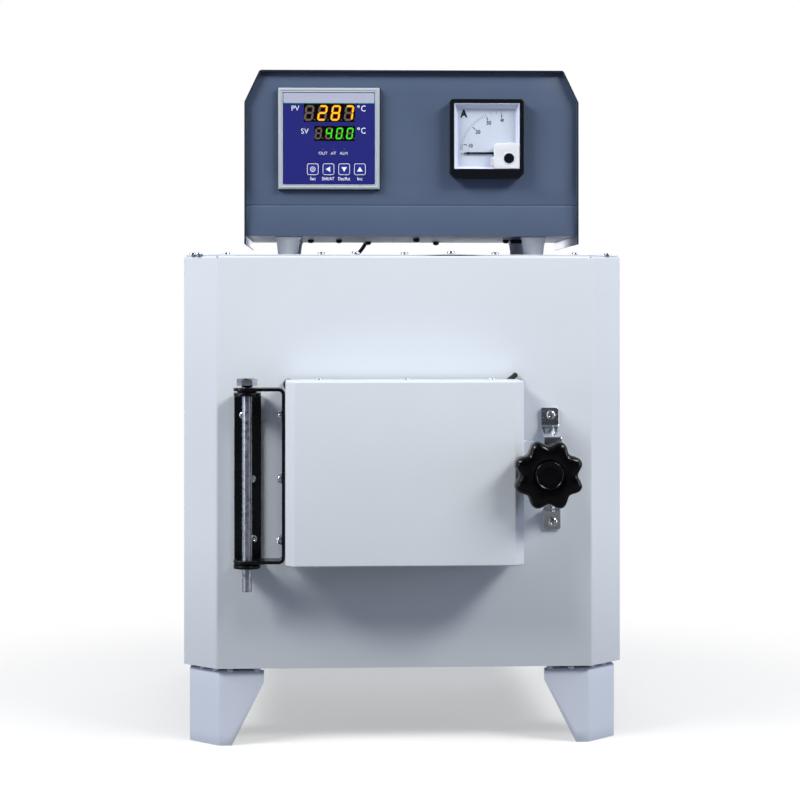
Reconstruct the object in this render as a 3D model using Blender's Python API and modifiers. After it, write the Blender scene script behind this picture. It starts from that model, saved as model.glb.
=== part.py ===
"""Bench-top box furnace with a swing door and a control box standing on top.

Units are metres. X runs to the right, Y to the back and Z up. The origin is on
the bench, under the middle of the furnace's outer box.
"""
import math

import bmesh
import bpy
from mathutils import Matrix, Vector

# Clearances that the whole furnace shares
seat_gap = 0.0003
bore_gap = 0.0003
overrun = 0.003
weld_reach = 0.001
weld_distance = 0.000001

# Flats around a full turn
fine_steps = 40
coarse_steps = 24
small_steps = 16
corner_steps = 6
end_steps = 8

# Cabinet
body_width = 0.420
body_depth = 0.450
body_height = 0.391
corner_chamfer = 0.032
cabinet_sheet = 0.0015
top_sheet = 0.002
base_sheet = 0.002

# Legs
leg_height = 0.0735
leg_sheet = 0.002
leg_inset = 0.0055
leg_facet_width = 0.0424
leg_toe_width = 0.012
leg_skirt_height = 0.0132

# Heated chamber
chamber_width = 0.120
chamber_height = 0.080
chamber_depth = 0.200
muffle_wall = 0.022
muffle_back_wall = 0.025
coil_wire = 0.004
coil_turns = 9
coil_corner_points = 3
coil_end_margin = 0.020
coil_tail = 0.012
insulation_side = 0.045
insulation_above = 0.075
insulation_behind = 0.080
mouth_frame_sheet = 0.0015
mouth_frame_border = 0.009
mouth_frame_lap = 0.004

# Thermocouple and rear terminals
sheath_radius = 0.004
sheath_in_chamber = 0.030
sheath_rise = 0.024
sensor_head_radius = 0.013
sensor_head_length = 0.020
terminal_cover_width = 0.200
terminal_cover_height = 0.130
terminal_cover_depth = 0.036
terminal_cover_sheet = 0.001
terminal_block_width = 0.090
terminal_block_height = 0.022
terminal_block_depth = 0.018
terminal_block_drop = 0.030
terminal_block_edge = 0.001
vent_slot_length = 0.030
vent_slot_height = 0.004
vent_slot_pitch = 0.014
vent_column_pitch = 0.060
vent_margin = 0.028
rear_vent_rows = 3
cover_vent_rows = 5
cover_vent_length = 0.100

# Door
door_width = 0.220
door_height = 0.170
door_proud = 0.064
door_shift = -0.003
door_middle_height = 0.2615
door_chamfer = 0.0085
door_sheet = 0.0015
gasket_diameter = 0.006
gasket_inset = 0.006
gasket_corner_radius = 0.012
gasket_loose_start = 0.024
gasket_loose_end = 0.014
gasket_end_drop = 0.036
plug_clearance = 0.0025
plug_entry = 0.004

# Hinge on the left of the door
hinge_reach = 0.0356
hinge_proud = 0.032
hinge_arm_radius = 0.0126
hinge_sheet = 0.003
hinge_bend = 0.003
hinge_height = 0.1626
hinge_drop = 0.0031
hinge_washer = 0.0012
hinge_washer_radius = 0.009
pin_radius = 0.0045
pin_head_flats = 0.017
pin_head_height = 0.0075
pin_tail = 0.022

# Latch on the right of the door
latch_reach = 0.0196
tongue_proud = 0.050
tongue_sheet = 0.003
tongue_above = 0.029
tongue_below = 0.018
tongue_shoulder = 0.0105
tongue_end_radius = 0.010
tongue_flange = 0.024
spindle_radius = 0.0035
collar_radius = 0.007
collar_length = 0.003
cam_length = 0.017
cam_width = 0.007
cam_thickness = 0.005
cam_gap = 0.0005
knob_radius = 0.0325
knob_lobe_depth = 0.0057
knob_lobes = 8
knob_lobe_points = 10
knob_thickness = 0.022
knob_edge = 0.003
knob_hub_radius = 0.013
knob_hub_length = 0.018
knob_bore_depth = 0.012
cap_radius = 0.0132
cap_thickness = 0.0022
cap_inset = 0.0012
cap_edge = 0.0007

# Keeper strap on the cabinet
keeper_clear = 0.0013
keeper_width = 0.0165
keeper_sheet = 0.0025
keeper_bulge = 0.024
keeper_bridge = 0.062
keeper_slope = 0.0095
keeper_tab = 0.0172
keeper_screw_radius = 0.0042
keeper_screw_head = 0.0026
keeper_screw_dome = 0.0013
keeper_screw_shank = 0.002
keeper_screw_length = 0.010

# Control box
control_width = 0.3172
control_height = 0.1573
control_depth = 0.210
control_shift = 0.0090
control_setback = 0.002
control_turn_degrees = -1.3
control_sheet = 0.0015
shoulder_across = 0.0145
shoulder_drop = 0.0303
cover_flap = 0.0078
panel_recess = 0.005
panel_crease = 0.029
panel_kick = 0.002
foot_height = 0.0175
foot_top_radius = 0.0122
foot_toe_radius = 0.0094
foot_lip = 0.002
foot_step = 0.001
foot_spread = 0.2360
foot_front_setback = 0.030
foot_rear_setback = 0.180
control_vent_rows = 4

# Temperature controller, from the panel's middle line and lower edge
controller_across = -0.0786
controller_up = 0.0924
controller_size = 0.096
controller_bezel = 0.0045
controller_body = 0.091
controller_body_depth = 0.070
controller_face_size = 0.0865
controller_face_sheet = 0.001
panel_cutout_gap = 0.0005
display_thickness = 0.0008
process_width = 0.0488
process_height = 0.0174
process_across = 0.0005
process_up = 0.0242
set_width = 0.0387
set_height = 0.0145
set_across = 0.0055
set_up = 0.0047
key_size = 0.0113
key_pitch = 0.01487
key_first_across = -0.0153
key_up = -0.0292
key_thickness = 0.0024
key_travel = 0.0006
key_rise = 0.0004
key_names = ("key_menu", "key_shift", "key_down", "key_up")

# Ammeter, from the panel's middle line and lower edge
meter_across = 0.0710
meter_up = 0.0914
meter_width = 0.070
meter_height = 0.0764
meter_front = 0.010
meter_corner = 0.006
meter_border = 0.0037
meter_window_size = 0.0626
meter_recess = 0.008
meter_body_size = 0.058
meter_body_depth = 0.040
dial_thickness = 0.0008
window_thickness = 0.0015
needle_across = 0.01435
needle_up = -0.0126
needle_length = 0.0364
needle_width = 0.0008
needle_sheet = 0.0005
needle_lift = 0.001
needle_hub_radius = 0.003
needle_shaft_radius = 0.001
needle_shaft_length = 0.004
movement_cover_size = 0.0243
movement_cover_lift = 0.003
zero_screw_across = 0.0209
zero_screw_up = -0.0179
zero_screw_radius = 0.0046
zero_screw_thickness = 0.0016
zero_screw_seat = 0.0010
zero_slot_width = 0.0010
zero_slot_depth = 0.0006

# Power relay in the control box
relay_width = 0.060
relay_depth = 0.080
relay_height = 0.050
relay_base_height = 0.017
relay_slots = 5
relay_slot_width = 0.005
relay_setback = 0.110
relay_across = 0.060

# Cable glands and the thermocouple lead
gland_radius = 0.006
gland_dome_share = 0.72
gland_collar_share = 0.67
gland_length = 0.012
gland_shank_radius = 0.0045
gland_bore_radius = 0.0024
lead_diameter = 0.004
lead_exit_across = -0.020
lead_exit_up = 0.018
mains_gland_radius = 0.010
mains_gland_length = 0.020
mains_gland_shank_radius = 0.008
mains_gland_bore_radius = 0.0045
mains_gland_across = 0.090
mains_gland_up = 0.030
heater_gland_across = 0.030

# Places that follow from the sizes
base_z = leg_height
cabinet_top = leg_height + body_height
knob_front = (tongue_proud + seat_gap + knob_hub_length + knob_thickness
              + cap_thickness - cap_inset + seat_gap)
front_y = (knob_front - body_depth - terminal_cover_depth) / 2
back_y = front_y + body_depth
half_width = body_width / 2

door_left = door_shift - door_width / 2
door_right = door_shift + door_width / 2
door_top = door_middle_height + door_height / 2
door_bottom = door_middle_height - door_height / 2
door_gap = gasket_diameter + 2 * seat_gap
chamber_z = door_middle_height
muffle_width = chamber_width + 2 * muffle_wall
muffle_height = chamber_height + 2 * muffle_wall
muffle_depth = chamber_depth + muffle_back_wall
coil_offset = coil_wire / 2 + seat_gap
pocket_gap = coil_wire + 2 * seat_gap

hinge_x = door_left - hinge_reach
hinge_y = front_y - hinge_proud
hinge_middle = door_middle_height - hinge_drop
washer_stack = hinge_washer + 2 * seat_gap
door_bracket_low = hinge_middle - hinge_height / 2
cabinet_bracket_low = door_bracket_low - washer_stack - hinge_sheet

knob_x = door_right + latch_reach
knob_z = door_middle_height
cam_proud = keeper_bulge - keeper_sheet - cam_gap - cam_thickness
keeper_left = knob_x + spindle_radius + keeper_clear

control_z = cabinet_top + foot_height
control_front_y = front_y + control_setback
control_back_y = control_front_y + control_depth
panel_y = control_front_y + panel_recess
control_top = control_z + control_height
controller_x = control_shift + controller_across
controller_z = control_z + controller_up
meter_x = control_shift + meter_across
meter_z = control_z + meter_up
needle_x = meter_x + needle_across
needle_z = meter_z + needle_up
zero_x = meter_x + zero_screw_across
zero_z = meter_z + zero_screw_up
relay_x = control_shift + relay_across

control_pivot = Matrix.Translation((control_shift, (control_front_y + control_back_y) / 2, 0))
control_turn = (control_pivot @ Matrix.Rotation(math.radians(control_turn_degrees), 4, "Z")
                @ control_pivot.inverted())

lead_gland_y = back_y + terminal_cover_depth / 2
terminal_cover_top = chamber_z + sheath_rise + terminal_cover_height / 2

# Where a part of the object faces, as a turn of its own up direction
UPWARDS = Matrix.Identity(4)
FORWARDS = Matrix.Rotation(math.radians(90), 4, "X")
BACKWARDS = Matrix.Rotation(math.radians(-90), 4, "X")

FINISHES = {
    "cabinet_enamel": ((0.70, 0.76, 0.85), 0.35, 0.0),
    "control_enamel": ((0.10, 0.13, 0.21), 0.45, 0.0),
    "black_steel": ((0.015, 0.016, 0.018), 0.4, 0.3),
    "zinc_steel": ((0.55, 0.55, 0.54), 0.3, 1.0),
    "black_plastic": ((0.012, 0.012, 0.013), 0.4, 0.0),
    "grey_plastic": ((0.55, 0.57, 0.60), 0.5, 0.0),
    "white_plastic": ((0.80, 0.81, 0.80), 0.4, 0.0),
    "label_blue": ((0.02, 0.022, 0.25), 0.35, 0.0),
    "display_black": ((0.01, 0.01, 0.012), 0.15, 0.0),
    "dial_card": ((0.72, 0.80, 0.88), 0.6, 0.0),
    "clear_window": ((0.9, 0.92, 0.94), 0.05, 0.0),
    "refractory": ((0.78, 0.72, 0.62), 0.9, 0.0),
    "ceramic_fibre": ((0.85, 0.84, 0.80), 1.0, 0.0),
    "heating_wire": ((0.30, 0.27, 0.25), 0.5, 0.8),
    "sheath_ceramic": ((0.82, 0.80, 0.76), 0.5, 0.0),
    "gasket_rope": ((0.02, 0.02, 0.02), 0.95, 0.0),
    "lead_rubber": ((0.015, 0.015, 0.015), 0.6, 0.0),
    "foot_plastic": ((0.60, 0.63, 0.68), 0.5, 0.0),
}


def clear_scene():
    for leftover in list(bpy.data.objects):
        bpy.data.objects.remove(leftover, do_unlink=True)


def new_collection(name):
    group = bpy.data.collections.new(name)
    bpy.context.scene.collection.children.link(group)
    return group


def make_finish(name, colour, roughness, metallic):
    material = bpy.data.materials.new(name)
    material.use_nodes = True
    shader = material.node_tree.nodes["Principled BSDF"]
    shader.inputs["Base Color"].default_value = (*colour, 1.0)
    shader.inputs["Roughness"].default_value = roughness
    shader.inputs["Metallic"].default_value = metallic
    return material


clear_scene()
parts = new_collection("box_furnace")
cutters = new_collection("cutters")


def add(name, mesh, finish, place=UPWARDS):
    """Put a mesh in the scene as one named piece with its own material."""
    piece = bpy.data.objects.new(name, mesh)
    piece.matrix_world = place
    if finish is None:
        cutters.objects.link(piece)
        piece.hide_render = True
        piece.display_type = "WIRE"
    else:
        parts.objects.link(piece)
        piece.data.materials.append(make_finish(name + "_" + finish, *FINISHES[finish]))
    return piece


def block(name, low, high, finish=None):
    """A rectangular piece between two opposite corners."""
    low, high = Vector(low), Vector(high)
    work = bmesh.new()
    bmesh.ops.create_cube(work, size=1)
    bmesh.ops.scale(work, vec=high - low, verts=work.verts)
    mesh = bpy.data.meshes.new(name)
    work.to_mesh(mesh)
    work.free()
    return add(name, mesh, finish, Matrix.Translation((low + high) / 2))


def rod(name, radius, length, place, finish=None, sides=coarse_steps):
    """A straight round piece whose middle is at the place given."""
    work = bmesh.new()
    bmesh.ops.create_cone(work, cap_ends=True, segments=sides, radius1=radius,
                          radius2=radius, depth=length)
    mesh = bpy.data.meshes.new(name)
    work.to_mesh(mesh)
    work.free()
    return add(name, mesh, finish, place)


def turned(name, profile, finish, place, steps=fine_steps):
    """A lathe shape from (radius, height) points, outer side from top to bottom."""
    points = [(radius, 0, height) for radius, height in profile]
    edges = [(index, index + 1) for index in range(len(points) - 1)]
    if profile[0][0] > 0:
        edges.append((len(points) - 1, 0))
    mesh = bpy.data.meshes.new(name)
    mesh.from_pydata(points, edges, [])
    piece = add(name, mesh, finish, place)
    turn = piece.modifiers.new("turn", "SCREW")
    turn.steps = steps
    turn.render_steps = steps
    turn.use_merge_vertices = True
    turn.merge_threshold = weld_distance
    return piece


def plate(name, outlines, thickness, finish, place):
    """A flat piece from an outline and any holes, its middle plane at the place."""
    curve = bpy.data.curves.new(name + "_outline", "CURVE")
    curve.dimensions = "2D"
    curve.fill_mode = "BOTH"
    curve.extrude = thickness / 2
    for outline in outlines:
        spline = curve.splines.new("POLY")
        spline.points.add(len(outline) - 1)
        for point, (across, up) in zip(spline.points, outline):
            point.co = (across, up, 0, 1)
        spline.use_cyclic_u = True
    flat = bpy.data.objects.new(name + "_outline", curve)
    flat.matrix_world = place
    parts.objects.link(flat)
    bpy.context.view_layer.update()
    graph = bpy.context.evaluated_depsgraph_get()
    mesh = bpy.data.meshes.new_from_object(flat.evaluated_get(graph))
    mesh.name = name
    mesh.materials.clear()
    work = bmesh.new()
    work.from_mesh(mesh)
    bmesh.ops.remove_doubles(work, verts=work.verts, dist=weld_distance)
    bmesh.ops.recalc_face_normals(work, faces=work.faces)
    work.to_mesh(mesh)
    work.free()
    piece = add(name, mesh, finish, flat.matrix_world.copy())
    bpy.data.objects.remove(flat, do_unlink=True)
    return piece


def folded_sheet(name, panels, thickness, finish, outside):
    """Sheet metal from flat panels that share fold lines.

    The panels lie on the outer skin, the side that the point outside sees, and
    the thickness goes inwards.
    """
    work = bmesh.new()
    for panel in panels:
        work.faces.new([work.verts.new(point) for point in panel])
    bmesh.ops.remove_doubles(work, verts=work.verts, dist=weld_distance)
    bmesh.ops.recalc_face_normals(work, faces=work.faces)
    work.faces.ensure_lookup_table()
    first = work.faces[0]
    if first.normal.dot(Vector(outside) - first.calc_center_median()) < 0:
        bmesh.ops.reverse_faces(work, faces=work.faces)
    mesh = bpy.data.meshes.new(name)
    work.to_mesh(mesh)
    work.free()
    piece = add(name, mesh, finish)
    wall = piece.modifiers.new("sheet", "SOLIDIFY")
    wall.thickness = thickness
    wall.offset = -1
    wall.use_even_offset = True
    wall.use_quality_normals = True
    return piece


def tube(name, points, diameter, finish, roundness=2):
    """A wire, rope or cord along a list of points."""
    curve = bpy.data.curves.new(name, "CURVE")
    curve.dimensions = "3D"
    curve.bevel_depth = diameter / 2
    curve.bevel_resolution = roundness
    curve.use_fill_caps = True
    spline = curve.splines.new("POLY")
    spline.points.add(len(points) - 1)
    for point, place in zip(spline.points, points):
        point.co = (*place, 1)
    return add(name, curve, finish)


def combine(piece, tool, operation):
    """Cut a piece by a tool, weld the tool on, or keep what both share."""
    step = piece.modifiers.new(operation.lower(), "BOOLEAN")
    step.operation = operation
    step.solver = "EXACT"
    step.object = tool
    return piece


def soften(piece, width, segments=2):
    """Round the edges of a piece."""
    edge = piece.modifiers.new("edge", "BEVEL")
    edge.width = width
    edge.segments = segments
    edge.limit_method = "ANGLE"
    edge.angle_limit = math.radians(40)
    return piece


def shade(piece):
    """Smooth shading on a round piece, with its corners kept sharp."""
    piece.data.shade_smooth()
    if piece.data.polygons:
        piece.data.set_sharp_from_angle(angle=math.radians(35))


def at(x, y, z, turn=UPWARDS):
    return Matrix.Translation((x, y, z)) @ turn


def on_front(x, z, proud):
    """A place that stands proud of the cabinet's front, facing forwards."""
    return at(x, front_y - proud, z, FORWARDS)


def drill(piece, name, place, radius, length, sides=coarse_steps):
    """A round hole through a piece."""
    return combine(piece, rod(name, radius, length, place, sides=sides), "DIFFERENCE")


def rectangle(width, height, across=0, up=0):
    """The four corners of an upright rectangle about a middle point."""
    half_x, half_y = width / 2, height / 2
    return [(across - half_x, up - half_y), (across + half_x, up - half_y),
            (across + half_x, up + half_y), (across - half_x, up + half_y)]


def arc(radius, start, end, steps, across=0, up=0):
    """Points on an arc, with its angles in degrees."""
    points = []
    for index in range(steps + 1):
        angle = math.radians(start + (end - start) * index / steps)
        points.append((across + radius * math.cos(angle), up + radius * math.sin(angle)))
    return points


def circle(radius, across=0, up=0, steps=coarse_steps):
    return arc(radius, 0, 360, steps, across, up)[:-1]


def long_hole(length, height, across, up):
    """A slot with round ends."""
    reach = (length - height) / 2
    right = arc(height / 2, -90, 90, small_steps // 4, across + reach, up)
    left = arc(height / 2, 90, 270, small_steps // 4, across - reach, up)
    return right + left


def corner_plan(inset):
    """The cabinet's right front corners in plan, moved in from the outside.

    Moving a 45 degree chamfer in by one inset slides each of its ends along
    the neighbouring side by the inset times root two less one.
    """
    slide = inset * (math.sqrt(2) - 1)
    front = (half_width - corner_chamfer - slide, front_y + inset)
    side = (half_width - inset, front_y + corner_chamfer + slide)
    return front, side


def cabinet_plan(inset):
    """The cabinet's outline in plan, from the left rear to the right rear."""
    front, side = corner_plan(inset)
    rear = (half_width - inset, back_y - inset)
    right = [front, side, rear]
    left = [(-x, y) for x, y in reversed(right)]
    return left + right


def upright_panels(path, low, high):
    """Upright flat panels over each stretch of a path in plan."""
    panels = []
    for (x0, y0), (x1, y1) in zip(path, path[1:]):
        panels.append([(x0, y0, low), (x1, y1, low), (x1, y1, high), (x0, y0, high)])
    return panels


def make_cabinet():
    """The cabinet's wrap, its top, its floor and its back."""
    wrap_top = cabinet_top - top_sheet - seat_gap
    path = cabinet_plan(0)
    path[0] = (path[0][0], back_y)
    path[-1] = (path[-1][0], back_y)
    shell = folded_sheet("cabinet_shell", upright_panels(path, base_z, wrap_top),
                         cabinet_sheet, "cabinet_enamel", (-body_width, back_y, base_z))
    mouth_x = muffle_width / 2 + seat_gap
    mouth_z = muffle_height / 2 + seat_gap
    mouth = block("cut_cabinet_mouth",
                  (-mouth_x, front_y - overrun, chamber_z - mouth_z),
                  (mouth_x, front_y + cabinet_sheet + overrun, chamber_z + mouth_z))
    combine(shell, mouth, "DIFFERENCE")
    for name, _, z in keeper_screw_places():
        drill(shell, "cut_cabinet_" + name, on_front(keeper_left + keeper_width / 2, z, 0),
              keeper_screw_shank + bore_gap, cabinet_sheet + 2 * overrun, small_steps)

    plate("top_panel", [cabinet_plan(0)], top_sheet, "cabinet_enamel",
          at(0, 0, cabinet_top - top_sheet / 2))
    inner = cabinet_sheet + seat_gap
    plate("base_panel", [cabinet_plan(inner)], base_sheet, "cabinet_enamel",
          at(0, 0, base_z + base_sheet / 2))

    rear_low = base_z + base_sheet + seat_gap
    rear_middle = (rear_low + wrap_top) / 2
    rear_width = body_width - 2 * inner
    outlines = [rectangle(rear_width, wrap_top - rear_low, 0, rear_middle)]
    outlines.append(circle(sheath_radius + bore_gap, 0, chamber_z + sheath_rise, small_steps))
    for row in range(rear_vent_rows):
        for column in (-1, 1):
            outlines.append(long_hole(vent_slot_length, vent_slot_height,
                                      column * vent_column_pitch,
                                      wrap_top - vent_margin - row * vent_slot_pitch))
    plate("rear_panel", outlines, cabinet_sheet, "cabinet_enamel",
          at(0, back_y - cabinet_sheet / 2, 0, FORWARDS))


def make_leg(name, side, corners, towards_back):
    """One bent leg: two tapered facets round a corner and a flange on top."""
    top = base_z - seat_gap
    skirt = top - leg_skirt_height
    first, last = corners[0], corners[-1]
    depth_sign = -1 if towards_back else 1
    inner_end = (first[0] - leg_facet_width, first[1])
    inner_toe = (first[0] - leg_toe_width, first[1])
    side_toe = (last[0], last[1] + depth_sign * leg_toe_width)
    side_end = (last[0], last[1] + depth_sign * leg_facet_width)
    stations = [(inner_end, skirt), (inner_toe, 0)]
    stations += [(corner, 0) for corner in corners]
    stations += [(side_toe, 0), (side_end, skirt)]
    panels = []
    for ((x0, y0), low0), ((x1, y1), low1) in zip(stations, stations[1:]):
        panels.append([(side * x0, y0, low0), (side * x1, y1, low1),
                       (side * x1, y1, top), (side * x0, y0, top)])
    panels.append([(side * x, y, top) for (x, y), _ in stations])
    outside = (side * first[0], first[1] - depth_sign * body_depth, base_z / 2)
    folded_sheet(name, panels, leg_sheet, "cabinet_enamel", outside)


def make_legs():
    front_corners = list(corner_plan(leg_inset))
    rear_corners = [(half_width - leg_inset, back_y - leg_inset)]
    for side, word in ((-1, "left"), (1, "right")):
        make_leg("leg_front_" + word, side, front_corners, False)
        make_leg("leg_rear_" + word, side, rear_corners, True)


def coil_path():
    """The heating wire, wound round the muffle as a square-cornered helix."""
    half_x = muffle_width / 2
    half_z = muffle_height / 2
    middles = ((half_x, half_z, 0), (-half_x, half_z, 90),
               (-half_x, -half_z, 180), (half_x, -half_z, 270))
    total = coil_turns * len(middles) * coil_corner_points
    start = front_y + coil_end_margin
    end = front_y + muffle_depth - coil_end_margin
    points = []
    for index in range(total):
        corner_x, corner_z, first = middles[(index // coil_corner_points) % len(middles)]
        bend_share = (index % coil_corner_points) / (coil_corner_points - 1)
        angle = math.radians(first + 90 * bend_share)
        points.append((corner_x + coil_offset * math.cos(angle),
                       start + (end - start) * index / (total - 1),
                       chamber_z + corner_z + coil_offset * math.sin(angle)))
    return points


def make_chamber():
    """The muffle with its heating wire, in insulation, and the frame at its mouth."""
    half_x = muffle_width / 2
    half_z = muffle_height / 2
    muffle_back = front_y + muffle_depth
    muffle = block("muffle", (-half_x, front_y, chamber_z - half_z),
                   (half_x, muffle_back, chamber_z + half_z), "refractory")
    hollow = block("cut_chamber",
                   (-chamber_width / 2, front_y - overrun, chamber_z - chamber_height / 2),
                   (chamber_width / 2, front_y + chamber_depth, chamber_z + chamber_height / 2))
    combine(muffle, hollow, "DIFFERENCE")
    sensor_z = chamber_z + sheath_rise
    sensor_hole = sheath_radius + bore_gap
    drill(muffle, "cut_muffle_sensor", at(0, muffle_back, sensor_z, BACKWARDS), sensor_hole,
          2 * (muffle_back_wall + overrun), small_steps)

    points = coil_path()
    tail_y = muffle_back + insulation_behind + coil_tail
    points.append((points[-1][0], tail_y, points[-1][2]))
    tube("heating_coil", points, coil_wire, "heating_wire", 1)

    front = front_y + cabinet_sheet + seat_gap
    back = muffle_back + insulation_behind
    wool = block("insulation",
                 (-half_x - insulation_side, front, base_z + base_sheet + seat_gap),
                 (half_x + insulation_side, back, chamber_z + half_z + insulation_above),
                 "ceramic_fibre")
    pocket = block("cut_insulation_pocket",
                   (-half_x - pocket_gap, front - overrun, chamber_z - half_z - pocket_gap),
                   (half_x + pocket_gap, muffle_back + seat_gap, chamber_z + half_z + pocket_gap))
    combine(wool, pocket, "DIFFERENCE")
    hole_length = insulation_behind + 2 * overrun
    hole_y = muffle_back + insulation_behind / 2
    drill(wool, "cut_insulation_sensor", at(0, hole_y, sensor_z, BACKWARDS), sensor_hole,
          hole_length, small_steps)
    drill(wool, "cut_insulation_tail", at(points[-1][0], hole_y, points[-1][2], BACKWARDS),
          coil_wire / 2 + bore_gap, hole_length, small_steps)

    outer = rectangle(muffle_width + 2 * mouth_frame_border,
                      muffle_height + 2 * mouth_frame_border)
    inner = rectangle(chamber_width + 2 * mouth_frame_lap, chamber_height + 2 * mouth_frame_lap)
    plate("mouth_frame", [outer, inner], mouth_frame_sheet, "zinc_steel",
          on_front(0, chamber_z, seat_gap + mouth_frame_sheet / 2))


def make_thermocouple():
    """A ceramic sheath from the chamber through the back, with its round head."""
    tip_y = front_y + chamber_depth - sheath_in_chamber
    sheath_length = back_y - tip_y + seat_gap
    profile = [(0, sensor_head_length), (sensor_head_radius, sensor_head_length),
               (sensor_head_radius, 0), (sheath_radius, 0), (sheath_radius, -sheath_length),
               (0, -sheath_length)]
    probe = turned("thermocouple_probe", profile, "sheath_ceramic",
                   at(0, back_y + seat_gap, chamber_z + sheath_rise, BACKWARDS), small_steps)
    shade(probe)


def make_terminals():
    """The ceramic terminal block on the back and the sheet cover over it."""
    middle = chamber_z + sheath_rise
    front = back_y + seat_gap
    low_z = middle - terminal_block_drop - terminal_block_height / 2
    half_x = terminal_block_width / 2
    soften(block("terminal_block", (-half_x, front, low_z),
                 (half_x, front + terminal_block_depth, low_z + terminal_block_height),
                 "sheath_ceramic"), terminal_block_edge)

    half_x = terminal_cover_width / 2
    low, high = middle - terminal_cover_height / 2, middle + terminal_cover_height / 2
    rear = back_y + terminal_cover_depth
    path = [(-half_x, front), (-half_x, rear), (half_x, rear), (half_x, front)]
    panels = upright_panels(path, low, high)
    panels.append([(x, y, low) for x, y in path])
    panels.append([(x, y, high) for x, y in path])
    cover = folded_sheet("terminal_cover", panels, terminal_cover_sheet, "cabinet_enamel",
                         (-body_width, back_y, middle))
    for row in range(cover_vent_rows):
        z = middle + (row - (cover_vent_rows - 1) / 2) * vent_slot_pitch
        outline = long_hole(cover_vent_length, vent_slot_height, 0, z)
        slot = plate("cut_cover_vent_" + str(row), [outline],
                     terminal_cover_sheet + 2 * overrun, None, at(0, rear, 0, FORWARDS))
        combine(cover, slot, "DIFFERENCE")
    for name, across, radius in (("lead", lead_exit_across, gland_shank_radius),
                                 ("heater", heater_gland_across, mains_gland_shank_radius)):
        drill(cover, "cut_cover_" + name, at(across, lead_gland_y, high), radius + bore_gap,
              2 * (terminal_cover_sheet + overrun), coarse_steps)


def gland_profile(radius, length, shank_radius, bore_radius, wall):
    """A domed cable gland on a wall at height zero, with a shank through it."""
    return [(bore_radius, length), (radius * gland_dome_share, length),
            (radius, length * gland_collar_share), (radius, seat_gap), (shank_radius, seat_gap),
            (shank_radius, -wall - overrun), (bore_radius, -wall - overrun)]


def make_glands(lead_name, lead_place, supply_name, supply_place):
    """The small gland of the lead and the large one of a supply cable, on one wall."""
    lead = gland_profile(gland_radius, gland_length, gland_shank_radius, gland_bore_radius,
                         control_sheet)
    mains = gland_profile(mains_gland_radius, mains_gland_length, mains_gland_shank_radius,
                          mains_gland_bore_radius, control_sheet)
    shade(turned(lead_name, lead, "black_plastic", lead_place, coarse_steps))
    shade(turned(supply_name, mains, "black_plastic", supply_place, coarse_steps))


def door_plan(inset):
    """The door in plan from its left rear to its right rear, moved in all round."""
    slide = inset * (math.sqrt(2) - 1)
    half = door_width / 2
    front = (half - door_chamfer - slide, front_y - door_proud + inset)
    side = (half - inset, front_y - door_proud + door_chamfer + slide)
    rear = (half - inset, front_y - door_gap)
    right = [front, side, rear]
    points = [(-x, y) for x, y in reversed(right)] + right
    return [(x + door_shift, y) for x, y in points]


def gasket_path():
    """The rope behind the door, once round and out past the upper right corner."""
    half_x = door_width / 2 - gasket_inset - gasket_diameter / 2
    half_z = door_height / 2 - gasket_inset - gasket_diameter / 2
    turn = gasket_corner_radius
    outline = []
    for across, up, first in ((half_x, half_z, 0), (-half_x, half_z, 90),
                              (-half_x, -half_z, 180), (half_x, -half_z, 270)):
        middle_x = math.copysign(abs(across) - turn, across)
        middle_z = math.copysign(abs(up) - turn, up)
        outline += arc(turn, first, first + 90, corner_steps, middle_x, middle_z)
    lead_in = (half_x - gasket_loose_start, half_z)
    tip = (lead_in[0] + gasket_loose_end, lead_in[1] + gasket_loose_end)
    route = [tip, lead_in] + outline[corner_steps + 1:]
    route.append((half_x, half_z - gasket_end_drop))
    return [(door_shift + x, front_y - door_gap / 2, door_middle_height + z)
            for x, z in route]


def make_door():
    """The door: sheet shell, insulation, rear plate, refractory plug and rope."""
    outside = (door_left - door_width, front_y - door_proud, door_middle_height)
    path = door_plan(0)
    panels = upright_panels(path, door_bottom, door_top)
    panels.append([(x, y, door_bottom) for x, y in path])
    panels.append([(x, y, door_top) for x, y in path])
    shell = folded_sheet("door_shell", panels, door_sheet, "cabinet_enamel", outside)

    inner = door_sheet + seat_gap
    plug_x = chamber_width / 2 - plug_clearance
    plug_z = chamber_height / 2 - plug_clearance
    hole = rectangle(2 * (plug_x + seat_gap), 2 * (plug_z + seat_gap), -door_shift,
                     chamber_z - door_middle_height)
    back = plate("door_back_plate",
                 [rectangle(door_width - 2 * inner, door_height - 2 * inner), hole],
                 door_sheet, "zinc_steel",
                 on_front(door_shift, door_middle_height, door_gap + door_sheet / 2))

    wool_rear = front_y - door_gap - door_sheet - seat_gap
    wool_plan = door_plan(inner)
    wool_plan[0] = (wool_plan[0][0], wool_rear)
    wool_plan[-1] = (wool_plan[-1][0], wool_rear)
    wool = plate("door_insulation", [wool_plan], door_height - 2 * inner, "ceramic_fibre",
                 at(0, 0, door_middle_height))
    plug = block("door_plug", (-plug_x, wool_rear + seat_gap, chamber_z - plug_z),
                 (plug_x, front_y + plug_entry, chamber_z + plug_z), "refractory")
    rope = tube("door_gasket", gasket_path(), gasket_diameter, "gasket_rope")
    return [shell, back, wool, plug, rope]


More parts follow.
